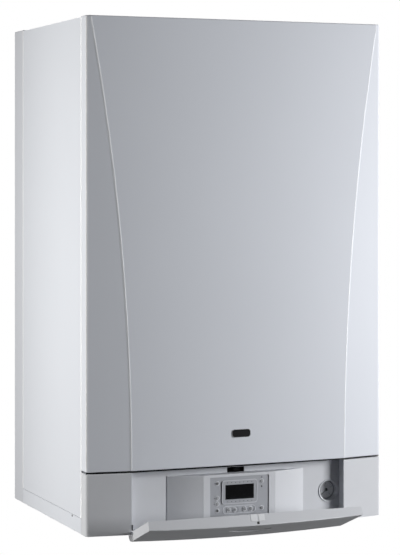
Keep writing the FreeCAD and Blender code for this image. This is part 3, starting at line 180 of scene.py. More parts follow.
moulded = {"sheen": 0.5, "spread": 0.06, "grainScale": 2600.0, "grainDepth": 0.00003, "pitScale": 0.4,
           "pitDepth": 0.5}
mouldings = {
    "controlPlastic": {"pale": (0.645, 0.66, 0.695, 1), "deep": (0.615, 0.63, 0.665, 1), "roughness": 0.58,
                       "sheen": 0.06},
    "unitPlastic": {"pale": (0.385, 0.398, 0.43, 1), "deep": (0.355, 0.368, 0.4, 1), "roughness": 0.45},
    "buttonPlastic": {"pale": (0.42, 0.43, 0.45, 1), "deep": (0.37, 0.38, 0.4, 1), "roughness": 0.28,
                      "grainScale": 4000.0, "grainDepth": 0.00001},
    "blackPlastic": {"pale": (0.022, 0.022, 0.024, 1), "deep": (0.014, 0.014, 0.015, 1), "roughness": 0.48},
    "lampPlastic": {"pale": (0.05, 0.06, 0.055, 1), "deep": (0.03, 0.035, 0.032, 1), "roughness": 0.2,
                    "grainScale": 5000.0, "grainDepth": 0.00001},
    "whitePlastic": {"pale": (0.78, 0.78, 0.77, 1), "deep": (0.73, 0.73, 0.72, 1), "roughness": 0.5},
    "clipPlastic": {"pale": (0.77, 0.785, 0.815, 1), "deep": (0.73, 0.745, 0.775, 1), "roughness": 0.4},
    "vesselEnamel": {"pale": (0.5, 0.03, 0.025, 1), "deep": (0.42, 0.022, 0.02, 1), "roughness": 0.28,
                     "grainScale": 700.0, "grainDepth": 0.00005},
    "insulatorGlaze": {"pale": (0.82, 0.81, 0.77, 1), "deep": (0.76, 0.74, 0.7, 1), "roughness": 0.2,
                       "grainScale": 900.0, "grainDepth": 0.00002},
    # black rubber for the stop and seals, also painted shade in the screws' cross recesses
    "rubberAndShadeBlack": {"pale": (0.03, 0.03, 0.031, 1), "deep": (0.018, 0.018, 0.019, 1), "roughness": 0.7},
    # near-black: the needle cap's own black, and painted shade on the catch and on the strip under the front
    # panel
    "blackAndShade": {"pale": (0.012, 0.012, 0.013, 1), "deep": (0.007, 0.007, 0.008, 1), "roughness": 0.8,
                  "sheen": 0.1},
    "badgeFace": {"pale": (0.005, 0.005, 0.007, 1), "deep": (0.004, 0.004, 0.0055, 1), "roughness": 0.3},
    "printDark": {"pale": (0.03, 0.03, 0.034, 1), "deep": (0.02, 0.02, 0.023, 1), "roughness": 0.6},
}


def mouldedPlastic(name):
    tones = {**moulded, **mouldings[name]}
    made = Finish(name)
    drift = made.speckle(scale=30.0, detail=4.0)
    pits = made.cells(tones["grainScale"] * tones["pitScale"])
    grain = made.speckle(tones["grainScale"], detail=1.0) + pits * tones["pitDepth"]
    return made.surface(baseColor=made.blend(drift, tones["pale"], tones["deep"]),
                        roughness=tones["roughness"] + drift.swing(tones["spread"]),
                        specularIorLevel=tones["sheen"], normal=made.bump(grain, tones["grainDepth"]))


# Display, dial and lens

display = {"glass": (0.003, 0.003, 0.0035, 1), "cells": (0.006, 0.006, 0.007, 1), "cellsPerMetre": 1600.0,
           "gap": 0.25, "roughness": 0.16, "smear": 0.06}


def displayBlack():
    made = Finish("displayBlack")
    x, _, z = made.axes()
    columns = made.maths("FRACT", x * display["cellsPerMetre"])
    rows = made.maths("FRACT", z * display["cellsPerMetre"])
    dots = (columns > display["gap"]) * (rows > display["gap"])
    smear = made.speckle(scale=120.0, detail=3.0)
    return made.surface(baseColor=made.blend(dots, display["glass"], display["cells"]),
                        roughness=display["roughness"] + smear * display["smear"])


# pale dial face; the dark ring at its edge is painted shade of the can's inner wall
dial = {"face": (0.85, 0.85, 0.86, 1), "rim": (0.3, 0.3, 0.31, 1), "shadeFrom": 0.0154, "shadeTo": 0.0166,
        "roughness": 0.55, "tooth": 0.1, "toothDepth": 0.00002}


def dialPrint():
    made = Finish("dialPrint")
    x, _, z = made.axes()
    across = x - gaugeAxis.x
    up = z - gaugeAxis.z
    radius = (across * across + up * up) ** 0.5
    # dark ring at the dial's edge: painted shade
    rim = made.band(radius, dial["shadeFrom"], dial["shadeTo"])
    tooth = made.speckle(scale=1500.0, detail=2.0)
    return made.surface(baseColor=made.blend(rim, dial["face"], dial["rim"]),
                        roughness=dial["roughness"] + tooth * dial["tooth"],
                        normal=made.bump(tooth, dial["toothDepth"]))


lens = {"pale": (0.62, 0.64, 0.66, 1), "deep": (0.7, 0.72, 0.74, 1), "roughness": 0.05, "alpha": 0.07,
        "smudge": 0.05}


def clearLens():
    made = Finish("clearLens")
    smudge = made.speckle(scale=90.0, detail=4.0)
    return made.surface(baseColor=made.blend(smudge, lens["pale"], lens["deep"]),
                        roughness=lens["roughness"] + smudge * lens["smudge"],
                        alpha=lens["alpha"] + smudge * lens["smudge"])


# Finishes of the works inside, and of the badge's rim

board = {"green": (0.02, 0.11, 0.05, 1), "light": (0.025, 0.13, 0.06, 1), "track": (0.09, 0.26, 0.13, 1),
         "pad": (0.55, 0.5, 0.36, 1), "trackScale": 60.0, "trackWidth": 0.012, "padScale": 420.0,
         "padReach": 0.16, "roughness": 0.38, "padPolish": 0.1}


def circuitBoard():
    made = Finish("circuitBoard")
    tracks = made.node("ShaderNodeTexBrick", None,
                       {"Vector": made.place, "Color1": board["green"], "Color2": board["light"],
                        "Mortar": board["track"], "Scale": board["trackScale"],
                        "Mortar Size": board["trackWidth"]})
    pads = made.cells(board["padScale"]) < board["padReach"]
    return made.surface(baseColor=made.blend(pads, tracks, board["pad"]),
                        roughness=board["roughness"] - pads * board["padPolish"])


stainless = {"pale": (0.64, 0.64, 0.65, 1), "deep": (0.54, 0.54, 0.55, 1), "brushing": (30.0, 30.0, 1400.0),
             "brushDepth": 0.00004, "roughness": 0.32, "spread": 0.25}


def stainlessSheet():
    made = Finish("stainlessSheet")
    lines = made.speckle(scale=1.0, detail=3.0, place=made.stretched(stainless["brushing"]))
    stain = made.speckle(scale=14.0, detail=4.0)
    return made.surface(baseColor=made.blend(stain, stainless["pale"], stainless["deep"]), metallic=1.0,
                        roughness=stainless["roughness"] + lines.swing(stainless["spread"]),
                        normal=made.bump(lines, stainless["brushDepth"]))


zinc = {"pale": (0.6, 0.6, 0.58, 1), "deep": (0.72, 0.72, 0.69, 1), "spangleScale": 140.0, "roughness": 0.3,
        "spread": 0.18}


def zincPlate():
    made = Finish("zincPlate")
    spangle = made.cells(zinc["spangleScale"], "Color")
    tone = made.node("ShaderNodeSeparateColor", None, {"Color": spangle})
    return made.surface(baseColor=made.blend(tone, zinc["pale"], zinc["deep"]), metallic=1.0,
                        roughness=zinc["roughness"] + tone * zinc["spread"])


castings = {
    "castAluminium": {"pale": (0.7, 0.71, 0.72, 1), "deep": (0.6, 0.61, 0.62, 1), "metallic": 1.0,
                      "roughness": 0.45, "spread": 0.2, "grainScale": 700.0, "grainDepth": 0.0001},
    "pumpIron": {"pale": (0.05, 0.052, 0.056, 1), "deep": (0.035, 0.036, 0.04, 1), "metallic": 0.0,
                 "roughness": 0.5, "spread": 0.2, "grainScale": 500.0, "grainDepth": 0.0002},
    "badgeRim": {"pale": (0.62, 0.63, 0.65, 1), "deep": (0.55, 0.56, 0.58, 1), "metallic": 1.0,
                 "roughness": 0.3, "spread": 0.2, "grainScale": 900.0, "grainDepth": 0.00002},
}


def castMetal(name):
    tones = castings[name]
    made = Finish(name)
    grain = made.speckle(tones["grainScale"], detail=3.0)
    drift = made.speckle(scale=25.0, detail=4.0)
    return made.surface(baseColor=made.blend(drift, tones["pale"], tones["deep"]), metallic=tones["metallic"],
                        roughness=tones["roughness"] + grain.swing(tones["spread"]),
                        normal=made.bump(grain, tones["grainDepth"]))


copper = {"clean": (0.78, 0.39, 0.25, 1), "tarnish": (0.46, 0.22, 0.13, 1), "bloomFrom": 0.45, "bloomTo": 0.7,
          "drawing": (900.0, 900.0, 25.0), "drawnDepth": 0.00002, "roughness": 0.24, "spread": 0.2}


def copperTube():
    made = Finish("copperTube")
    bloom = made.speckle(scale=22.0, detail=5.0)
    dulled = made.band(bloom, copper["bloomFrom"], copper["bloomTo"])
    drawn = made.speckle(scale=1.0, detail=2.0, place=made.stretched(copper["drawing"]))
    return made.surface(baseColor=made.blend(dulled, copper["clean"], copper["tarnish"]), metallic=1.0,
                        roughness=copper["roughness"] + bloom * copper["spread"],
                        normal=made.bump(drawn, copper["drawnDepth"]))


brass = {"pale": (0.78, 0.6, 0.28, 1), "deep": (0.6, 0.43, 0.18, 1), "turning": 9000.0,
         "turnedDepth": 0.00001, "roughness": 0.26, "spread": 0.14}


def turnedBrass():
    made = Finish("turnedBrass")
    _, _, z = made.axes()
    turning = made.maths("SINE", z * brass["turning"])
    stain = made.speckle(scale=60.0, detail=4.0)
    return made.surface(baseColor=made.blend(stain, brass["pale"], brass["deep"]), metallic=1.0,
                        roughness=brass["roughness"] + stain * brass["spread"],
                        normal=made.bump(turning, brass["turnedDepth"]))


# Each node takes the finish of its material slot

finishes = {
    "casing_paint": sheetPaint("casingPaint", paint),
    "control_plastic": mouldedPlastic("controlPlastic"),
    "unit_plastic": mouldedPlastic("unitPlastic"),
    "button_plastic": mouldedPlastic("buttonPlastic"),
    "display_black": displayBlack(),
    "black_plastic": mouldedPlastic("blackPlastic"),
    "lamp_plastic": mouldedPlastic("lampPlastic"),
    "dial_print": dialPrint(),
    "clear_lens": clearLens(),
    "circuit_board": circuitBoard(),
    "stainless": stainlessSheet(),
    "zinc_steel": zincPlate(),
    "cast_aluminium": castMetal("castAluminium"),
    "white_plastic": mouldedPlastic("whitePlastic"),
    "vessel_paint": mouldedPlastic("vesselEnamel"),
    "copper": copperTube(),
    "brass": turnedBrass(),
    "pump_iron": castMetal("pumpIron"),
    "ceramic_white": mouldedPlastic("insulatorGlaze"),
}
# bead finishes whose paler tone paints a highlight
edgeHighlightFinish = sheetPaint("edgeHighlightPaint", edgeHighlightPaint)
creaseHighlightFinish = sheetPaint("creaseHighlightPaint", creaseHighlightPaint)
rubberAndShadeBlack = mouldedPlastic("rubberAndShadeBlack")
blackAndShade = mouldedPlastic("blackAndShade")
clipPlastic = mouldedPlastic("clipPlastic")
printDark = mouldedPlastic("printDark")
badgeRim = castMetal("badgeRim")
badgeFace = mouldedPlastic("badgeFace")
for part in frame["record"]["subparts"]:
    shown = nodes[part["node"]]
    shown.data.materials.clear()
    shown.data.materials.append(finishes[part["material_slot"]])
nodes["back_frame"].data.materials[0] = sheetPaint("frameShadedPaint", frameShadedPaint)  # a darker copy of the casing paint, painted shade on the back frame
# the catch takes a blacker finish than its black plastic slot: painted shade in its recess
nodes["flap_catch"].data.materials[0] = blackAndShade
print("finishes:", len(finishes), "on", len(nodes), "nodes")


# Tools for the small pieces that the solids leave out

def addPiece(name, shape, finishList, body="casing"):
    bmesh.ops.recalc_face_normals(shape, faces=shape.faces)
    mesh = bpy.data.meshes.new(name)
    shape.to_mesh(mesh)
    shape.free()
    for finish in finishList:
        mesh.materials.append(finish)
    made = bpy.data.objects.new(name, mesh)
    scene.collection.objects.link(made)
    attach(made, body)


def newVerts(shape, known):
    return [v for v in shape.verts if v not in known]


def faceFront(shape, verts, place):  # turns what was drawn flat to look forward, and puts it in place
    bmesh.ops.rotate(shape, verts=verts, cent=(0, 0, 0), matrix=Matrix.Rotation(math.radians(90), 3, "X"))
    bmesh.ops.translate(shape, verts=verts, vec=place)


def addBox(shape, centre, size, turn=0.0, axis="Y"):  # a small block, turned about its own middle
    made = bmesh.ops.create_cube(shape, size=1.0)["verts"]
    bmesh.ops.scale(shape, verts=made, vec=size)
    bmesh.ops.rotate(shape, verts=made, cent=(0, 0, 0), matrix=Matrix.Rotation(turn, 3, axis))
    bmesh.ops.translate(shape, verts=made, vec=centre)


def addRod(shape, radius, segments, x, y, low, high):  # an upright rod
    rod = bmesh.ops.create_cone(shape, cap_ends=True, segments=segments, radius1=radius, radius2=radius,
                                depth=high - low)["verts"]
    bmesh.ops.translate(shape, verts=rod, vec=(x, y, (low + high) / 2))


def addRing(shape, outline, steps, place, forward=False):  # spins a closed outline of (radius, height)
    known = set(shape.verts)
    verts = [shape.verts.new((radius, 0, height)) for radius, height in outline]
    edges = [shape.edges.new((verts[i - 1], verts[i])) for i in range(len(verts))]
    bmesh.ops.spin(shape, geom=verts + edges, cent=(0, 0, 0), axis=(0, 0, 1), angle=math.tau, steps=steps,
                   use_merge=True)
    spun = newVerts(shape, known)
    if forward:
        faceFront(shape, spun, place)
    else:
        bmesh.ops.translate(shape, verts=spun, vec=place)


def bevel(shape, geom, offset, segments, affect="EDGES"):
    bmesh.ops.bevel(shape, geom=geom, offset=offset, offset_type="OFFSET", affect=affect, segments=segments,
                    profile=0.5, material=-1)


def swingOpen(shape):  # a piece of the flap is drawn closed and swung to rest
    hinge = joints["flap_hinge"]
    bmesh.ops.rotate(shape, verts=shape.verts, cent=hinge["pos_m"],
                     matrix=Matrix.Rotation(math.radians(-hinge["range_deg"][0]), 3, "X"))


def aroundAxis(angle, reach):  # a step away from an axis that points to the front
    return Vector((math.cos(angle), 0, math.sin(angle))) * reach


def panelSpot(x, z):  # a spot on the face of the front panel
    return nodes["front_panel"].ray_cast((x, -1, z), (0, 1, 0))[1]


def middle(node):
    low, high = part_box(node)
    return (low + high) / 2


# Badge

badge = {"size": (0.0372, 0.0016, 0.0152), "x": 0.0008, "height": 0.176, "sunk": 0.0004, "corner": 0.0052,
         "cornerSteps": 6, "rim": 0.0006, "step": 0.0003}


def addBadge():  # plain plate with a bright rim
    thick = badge["size"][1]
    place = panelSpot(badge["x"], badge["height"]) - Vector((0, thick / 2 - badge["sunk"], 0))
    shape = bmesh.new()
    addBox(shape, place, badge["size"])
    corners = [e for e in shape.edges if abs(e.verts[0].co.y - e.verts[1].co.y) > thick / 2]
    bevel(shape, corners, badge["corner"], badge["cornerSteps"])
    front = min(shape.faces, key=lambda f: f.calc_center_median().y)
    bmesh.ops.inset_region(shape, faces=[front], thickness=badge["rim"], depth=0)
    bmesh.ops.inset_region(shape, faces=[front], thickness=badge["step"], depth=-badge["step"])
    front.material_index = 1
    addPiece("badgePlate", shape, [badgeRim, badgeFace])


# Gauge

gaugeScale = {"dialDepth": 0.0032, "thick": 0.0001, "start": 225.0, "sweep": 270.0, "top": 4, "parts": 5,
              "radius": 0.0152, "long": (0.0026, 0.0006), "short": (0.0014, 0.0003), "figure": 0.0034,
              "figureRadius": 0.0108, "figureLift": 0.00008, "weld": 1e-7}


def onGauge(y):  # the gauge's axis at a depth
    return Vector((gaugeAxis.x, y, gaugeAxis.z))


def scaleTurn(share):  # the angle at a share of the scale's sweep
    return math.radians(gaugeScale["start"] - gaugeScale["sweep"] * share)


def textMesh(words, size, half):  # figures of twice the half thickness, made a mesh
    curve = bpy.data.curves.new("figures", "FONT")
    curve.body = words
    curve.size = size
    curve.extrude = half
    curve.align_x = "CENTER"
    curve.align_y = "CENTER"
    carrier = bpy.data.objects.new("figures", curve)
    scene.collection.objects.link(carrier)
    mesh = bpy.data.meshes.new_from_object(carrier.evaluated_get(bpy.context.evaluated_depsgraph_get()))
    bpy.data.objects.remove(carrier)
    bpy.data.curves.remove(curve)
    return mesh


def addGaugeScale():
    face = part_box("gauge_dial")[0].y + gaugeScale["dialDepth"]
    thick, top, parts = gaugeScale["thick"], gaugeScale["top"], gaugeScale["parts"]
    shape = bmesh.new()
    for step in range(top * parts + 1):
        length, width = gaugeScale["short"] if step % parts else gaugeScale["long"]
        turn = scaleTurn(step / (top * parts))
        place = onGauge(face - thick / 2) + aroundAxis(turn, gaugeScale["radius"] - length / 2)
        addBox(shape, place, (length, thick, width), -turn)
    for figure in range(top + 1):
        known = set(shape.verts)
        shape.from_mesh(textMesh(str(figure), gaugeScale["figure"], thick / 2))
        reach = aroundAxis(scaleTurn(figure / top), gaugeScale["figureRadius"])
        faceFront(shape, newVerts(shape, known), onGauge(face - gaugeScale["figureLift"]) + reach)
    bmesh.ops.remove_doubles(shape, verts=shape.verts, dist=gaugeScale["weld"])
    addPiece("gaugeScale", shape, [printDark])


gaugeBezel = {"fasciaBack": 0.021, "steps": 64,
              "outline": [(0.0186, 0.0), (0.0208, 0.0015), (0.0213, 0.0012), (0.0214, 0.0002),
                          (0.0186, -0.0004)]}


def addGaugeBezel():  # countersunk trim ring round the gauge
    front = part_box("control_fascia")[0].y + gaugeBezel["fasciaBack"]
    shape = bmesh.new()
    addRing(shape, gaugeBezel["outline"], gaugeBezel["steps"], onGauge(front), forward=True)
    addPiece("gaugeBezel", shape, [finishes["control_plastic"]])


needleCap = {"sunk": 0.0001, "steps": 24,
             "outline": [(0.0004, 0.0), (0.0033, 0.0), (0.0031, 0.0007), (0.0022, 0.0012), (0.0004, 0.0014)]}


def addNeedleCap():  # round cap on the hub of the needle
    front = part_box("gauge_needle")[0].y + needleCap["sunk"]
    shape = bmesh.new()
    addRing(shape, needleCap["outline"], needleCap["steps"], onGauge(front), forward=True)
    addPiece("needleCap", shape, [blackAndShade], "needle")


# Control unit

unit = {"frameRise": 0.0012}  # the display frame stands forward of the unit's face
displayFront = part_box("control_unit")[0].y
unitFront = displayFront + unit["frameRise"]
marks = {"thick": 0.00012, "stroke": 0.00045, "size": 0.0026, "beside": 0.0022, "above": 0.0034,
         "barRise": 0.3, "barLength": 0.55, "dash": (0.0024, 0.0009), "dashes": 7, "dashGap": 0.0042}
openRing = {"blocks": 13, "gap": 70.0, "block": 0.24}


def addOpenRing(shape, centre, size):  # the ring of a power or reset sign, open at its top
    block = (marks["stroke"], marks["thick"], size * openRing["block"])
    for step in range(openRing["blocks"]):
        share = step / (openRing["blocks"] - 1)
        angle = math.radians(90 + openRing["gap"] / 2 + (360 - openRing["gap"]) * share)
        addBox(shape, centre + aroundAxis(angle, size / 2), block, math.pi - angle)


def addUnitMarks():
    thick, size = marks["thick"], marks["size"]
    depth = unitFront - thick / 2
    shape = bmesh.new()
    for node, tip in (("up_button", 1), ("down_button", -1)):  # triangles beside the two keys
        arrow = bmesh.ops.create_cone(shape, cap_ends=True, segments=3, radius1=size / 2, radius2=size / 2,
                                      depth=thick)["verts"]
        bmesh.ops.scale(shape, verts=arrow, vec=(1, tip, 1))
        faceFront(shape, arrow, (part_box(node)[0].x - marks["beside"], depth, middle(node).z))
    power = Vector((middle("power_button").x, depth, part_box("power_button")[1].z + marks["above"]))
    addOpenRing(shape, power, size)
    addBox(shape, power + Vector((0, 0, size * marks["barRise"])),
           (marks["stroke"], thick, size * marks["barLength"]))
    low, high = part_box("display_window")
    dashWidth, dashHeight = marks["dash"]
    for height in (low.z - marks["dashGap"], high.z + marks["dashGap"]):  # short dashes along the display
        for step in range(marks["dashes"]):
            across = low.x + (high.x - low.x) * (step + 0.5) / marks["dashes"]
            addBox(shape, (across, displayFront - thick / 2, height), (dashWidth, thick, dashHeight))
    addPiece("unitMarks", shape, [printDark])


unitHighlightTrim = {"frame": (0.072, 0.044), "frameCorner": 0.005, "pill": (0.067, 0.0145), "pillCorner": 0.00696,
            "pillMiddle": (-0.0005, 0.0325), "cornerSteps": 6, "width": 0.0011, "rise": 0.0004,
            "sink": 0.0003}


def addOutline(shape, place, size, corner):  # raised line round a rounded rectangle
    known = set(shape.verts)
    bmesh.ops.create_grid(shape, x_segments=1, y_segments=1, size=0.5)
    plate = newVerts(shape, known)
    bmesh.ops.scale(shape, verts=plate, vec=(size[0], size[1], 1))
    bevel(shape, plate, corner, unitHighlightTrim["cornerSteps"], "VERTICES")
    inside = [f for f in shape.faces if not known.intersection(f.verts)]
    bmesh.ops.inset_region(shape, faces=inside, thickness=unitHighlightTrim["width"], use_boundary=True)
    bmesh.ops.delete(shape, geom=inside, context="FACES")
    line = [f for f in shape.faces if not known.intersection(f.verts)]
    grown = bmesh.ops.extrude_face_region(shape, geom=line)["geom"]
    raised = [v for v in grown if isinstance(v, bmesh.types.BMVert)]
    bmesh.ops.translate(shape, verts=raised, vec=(0, 0, unitHighlightTrim["rise"] + unitHighlightTrim["sink"]))
    faceFront(shape, newVerts(shape, known), place)


def addUnitTrim():  # pale raised lines round the display and round the row of four keys; their pale tone is a painted highlight on the edges
    sink = unitHighlightTrim["sink"]
    window = middle("display_window")
    pillX, pillZ = unitHighlightTrim["pillMiddle"]
    shape = bmesh.new()
    addOutline(shape, (window.x, displayFront + sink, window.z), unitHighlightTrim["frame"], unitHighlightTrim["frameCorner"])
    addOutline(shape, (pillX, unitFront + sink, pillZ), unitHighlightTrim["pill"], unitHighlightTrim["pillCorner"])
    addPiece("unitHighlightTrim", shape, [finishes["control_plastic"]])


capSigns = {"size": 0.0033, "stroke": 0.0007, "lift": 0.000036, "ring": 0.00264,
            "bars": {"heating_less": [(0, 0)], "heating_more": [(0, 0), (0, 90)], "water_less": [(0, 0)],
                     "water_more": [(0, 0), (0, 90)], "menu": [(-0.0011, 0), (0, 0), (0.0011, 0)],
                     "summer": [(0, 0), (0, 45), (0, 90), (0, 135)]}}


def addCapSigns():  # signs printed on the caps of the keys: bars by height and turn, and the reset ring
    bar = (capSigns["size"], marks["thick"], capSigns["stroke"])
    for key in list(capSigns["bars"]) + ["reset"]:
        centre = middle(key + "_button")
        centre.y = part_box(key + "_button")[0].y - capSigns["lift"]
        shape = bmesh.new()
        for rise, turn in capSigns["bars"].get(key, []):
            addBox(shape, centre + Vector((0, 0, rise)), bar, math.radians(turn))
        if key == "reset":
            addOpenRing(shape, centre, capSigns["ring"])
        addPiece(key + "Sign", shape, [printDark], key + "_key")


buttonHighlightRing = {"steps": 32, "outline": [(0.0033, -0.0003), (0.0048, -0.0003), (0.004575, 0.00042),
                                       (0.00405, 0.0006), (0.0033, 0.00036)]}


def addButtonRings():  # raised collar round each key, paler than the keys as a painted highlight
    shape = bmesh.new()
    for node in sorted(n for n in nodes if n.endswith("_button")):
        place = middle(node)
        place.y = unitFront
        addRing(shape, buttonHighlightRing["outline"], buttonHighlightRing["steps"], place, forward=True)
    addPiece("buttonHighlightRings", shape, [finishes["control_plastic"]])


# Flap

flapStop = {"closedAt": (0, -0.462, 0.1109), "size": (0.0047, 0.0047, 0.0022), "round": 0.0006,
            "roundSteps": 2}


def addFlapStop():  # rubber stop in the hole of the flap's rim
    shape = bmesh.new()
    addBox(shape, flapStop["closedAt"], flapStop["size"])
    bevel(shape, shape.edges[:], flapStop["round"], flapStop["roundSteps"])
    swingOpen(shape)
    addPiece("flapStop", shape, [rubberAndShadeBlack], "flap")


tongueClip = {"half": 0.0139, "gap": 0.0016, "deep": 0.0011, "rise": 0.0004, "rimTop": 0.112, "back": -0.446,
              "front": -0.4586, "round": 0.0003, "roundSteps": 2}


def addTongueClip():  # pale latch tongue in the two pockets of the flap's rim
    inner, outer = tongueClip["gap"], tongueClip["half"]
    back, front = tongueClip["back"], tongueClip["front"]
    low, high = tongueClip["rimTop"] - tongueClip["deep"], tongueClip["rimTop"] + tongueClip["rise"]
    shape = bmesh.new()
    for side in (-1, 1):
        addBox(shape, (side * (inner + outer) / 2, (back + front) / 2, (low + high) / 2),
               (outer - inner, back - front, high - low))
    bevel(shape, shape.edges[:], tongueClip["round"], tongueClip["roundSteps"])
    swingOpen(shape)
    addPiece("tongueClip", shape, [clipPlastic], "flap")


# Connections and screws

def addRingOn(shape, mount, outline, steps, height):  # an outline measured from a mount's radius and a height
    x, y, _ = mount["pos_m"]
    radius = mount["dims"]["r_mm"] / 1000
    addRing(shape, [(radius + out, up) for out, up in outline], steps, (x, y, height))


thread = {"pitch": 0.0018, "crest": 0.00035, "root": 0.0001, "sunk": 0.0006, "low": -0.0225, "high": -0.0075,
          "steps": 40}


def addThreads():
    low, high, pitch = thread["low"], thread["high"], thread["pitch"]
    turns = int((high - low) / pitch)
    outline = [(-thread["sunk"], high), (-thread["sunk"], low)]
    for turn in range(turns):
        outline.append((-thread["root"], low + turn * pitch))
        outline.append((thread["crest"], low + (turn + 0.5) * pitch))
    outline.append((-thread["root"], low + turns * pitch))
    shape = bmesh.new()
    for name, mount in mounts.items():
        if mount["kind"] == "pin" and name != "condensate_drain":
            addRingOn(shape, mount, outline, thread["steps"], 0)
    addPiece("nippleThreads", shape, [finishes["brass"]])


hoseBarb = {"heights": (-0.0215, -0.0155, -0.0095), "steps": 32,
            "outline": [(-0.0008, -0.002), (-0.0001, -0.002), (0.0008, 0.001), (-0.0008, 0.001)]}


def addHoseBarbs():
    shape = bmesh.new()
    for height in hoseBarb["heights"]:
        addRingOn(shape, mounts["condensate_drain"], hoseBarb["outline"], hoseBarb["steps"], height)
    addPiece("hoseBarbs", shape, [finishes["black_plastic"]])


flueSeal = {"steps": 64,
            "outline": [(-0.0007, -0.006), (0.0004, -0.007), (0.0004, -0.002), (-0.0004, -0.0025)]}


def addFlueSeal():  # lip seal inside the flue socket
    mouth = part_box("flue_collar")[1].z
    shape = bmesh.new()
    addRingOn(shape, mounts["flue_socket"], flueSeal["outline"], flueSeal["steps"], mouth)
    addPiece("flueSeal", shape, [rubberAndShadeBlack])


panHead = {"steps": 24, "rise": 0.0022, "cross": (0.0042, 0.000924, 0.0007), "crossSink": 0.0002,
           "outline": [(0.0012, -0.0008), (0.0042, -0.0008), (0.0042, 0.00077), (0.00336, 0.00176),
                       (0.00189, 0.0022), (0.0012, 0.0022)]}
screwRows = [{"x": 0.27, "ys": (-0.085, -0.395), "turn": 0.6, "side": 1, "z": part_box("top_panel")[1].z},
             {"x": 0.275, "ys": (-0.09, -0.25, -0.395), "turn": 0.3, "side": -1,
              "z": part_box("base_tray")[0].z}]


def addScrews():  # pan heads on the top panel and under the base tray; their cross recesses are black blocks, painted shade
    heads = bmesh.new()
    crossShades = bmesh.new()
    for row in screwRows:
        head = [(radius, row["side"] * height) for radius, height in panHead["outline"]]
        crossHeight = row["z"] + row["side"] * (panHead["rise"] - panHead["crossSink"])
        for x in (-row["x"], row["x"]):
            for y in row["ys"]:
                addRing(heads, head, panHead["steps"], (x, y, row["z"]))
                for turn in (row["turn"], row["turn"] + math.pi / 2):
                    addBox(crossShades, (x, y, crossHeight), panHead["cross"], turn, "Z")
    addPiece("panelScrews", heads, [finishes["zinc_steel"]])
    addPiece("screwCrossShades", crossShades, [rubberAndShadeBlack])


# Painted shadow strip and highlight beads of the casing

shadowGapStrip = {"steps": 48, "reach": 0.2985, "drop": 0.0036, "taper": 0.45, "setBack": 0.0012, "thick": 0.003,
            "probe": 0.003, "lap": 0.0004}


def addFootSeal():  # dark strip under the lower edge of the front panel, a painted shadow in the gap above the fascia
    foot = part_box("front_panel")[0].z
    shape = bmesh.new()
    bmesh.ops.create_grid(shape, x_segments=shadowGapStrip["steps"], y_segments=1, size=0.5)
    faceFront(shape, shape.verts, (0, 0, 0))
    bmesh.ops.scale(shape, verts=shape.verts, vec=(2 * shadowGapStrip["reach"], 1, shadowGapStrip["drop"]))
    for v in shape.verts:  # follows the panel's own bow
        v.co.y = panelSpot(v.co.x, foot + shadowGapStrip["probe"]).y + shadowGapStrip["setBack"]
        if v.co.z < 0:  # hangs lower at its left end, where the painted shadow is wider
            v.co.z *= 1 - shadowGapStrip["taper"] * (1 + v.co.x / shadowGapStrip["reach"])
    bmesh.ops.translate(shape, verts=shape.verts, vec=(0, 0, foot + shadowGapStrip["lap"] - shadowGapStrip["drop"] / 2))
    walls = bmesh.ops.extrude_face_region(shape, geom=shape.faces[:])["geom"]
    moved = [v for v in walls if isinstance(v, bmesh.types.BMVert)]
    bmesh.ops.translate(shape, verts=moved, vec=(0, shadowGapStrip["thick"], 0))
    addPiece("shadowGapStrip", shape, [blackAndShade])


sideBead = {"radius": 0.0016, "sink": 0.0008, "segments": 16, "round": 0.0004, "roundSteps": 2}


def addSideBeads():  # rolled edges of the two side panels, in the paler edge paint as a painted highlight
    shape = bmesh.new()
    for node, side in (("left_side_panel", -1), ("right_side_panel", 1)):
        low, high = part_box(node)
        x = (low.x if side < 0 else high.x) - side * sideBead["sink"]
        for y in (low.y, high.y):
            addRod(shape, sideBead["radius"], sideBead["segments"], x, y, low.z, high.z)
    caps = [e for e in shape.edges if abs(e.verts[0].co.z - e.verts[1].co.z) < sideBead["round"]]
    bevel(shape, caps, sideBead["round"], sideBead["roundSteps"])
    addPiece("sideBeads", shape, [edgeHighlightFinish])


creaseBead = {"footHalf": 0.216, "topHalf": 0.291, "radius": 0.0009, "segments": 10, "steps": 28,
              "margin": 0.003, "proud": {-1: 0.0004, 1: 0.0001}, "out": {-1: 0.0, 1: 0.0008}}


def creaseSpot(side, share):  # where a bead's middle runs, by its share of the height
    low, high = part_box("front_panel")
    z = low.z + creaseBead["margin"] + (high.z - low.z - 2 * creaseBead["margin"]) * share
    lift = (z - low.z) / (high.z - low.z)
    x = side * (creaseBead["footHalf"] + (creaseBead["topHalf"] - creaseBead["footHalf"]) * lift ** 2)
    y = panelSpot(x, z).y + creaseBead["radius"] - creaseBead["proud"][side]
    return Vector((x + side * creaseBead["out"][side], y, z))


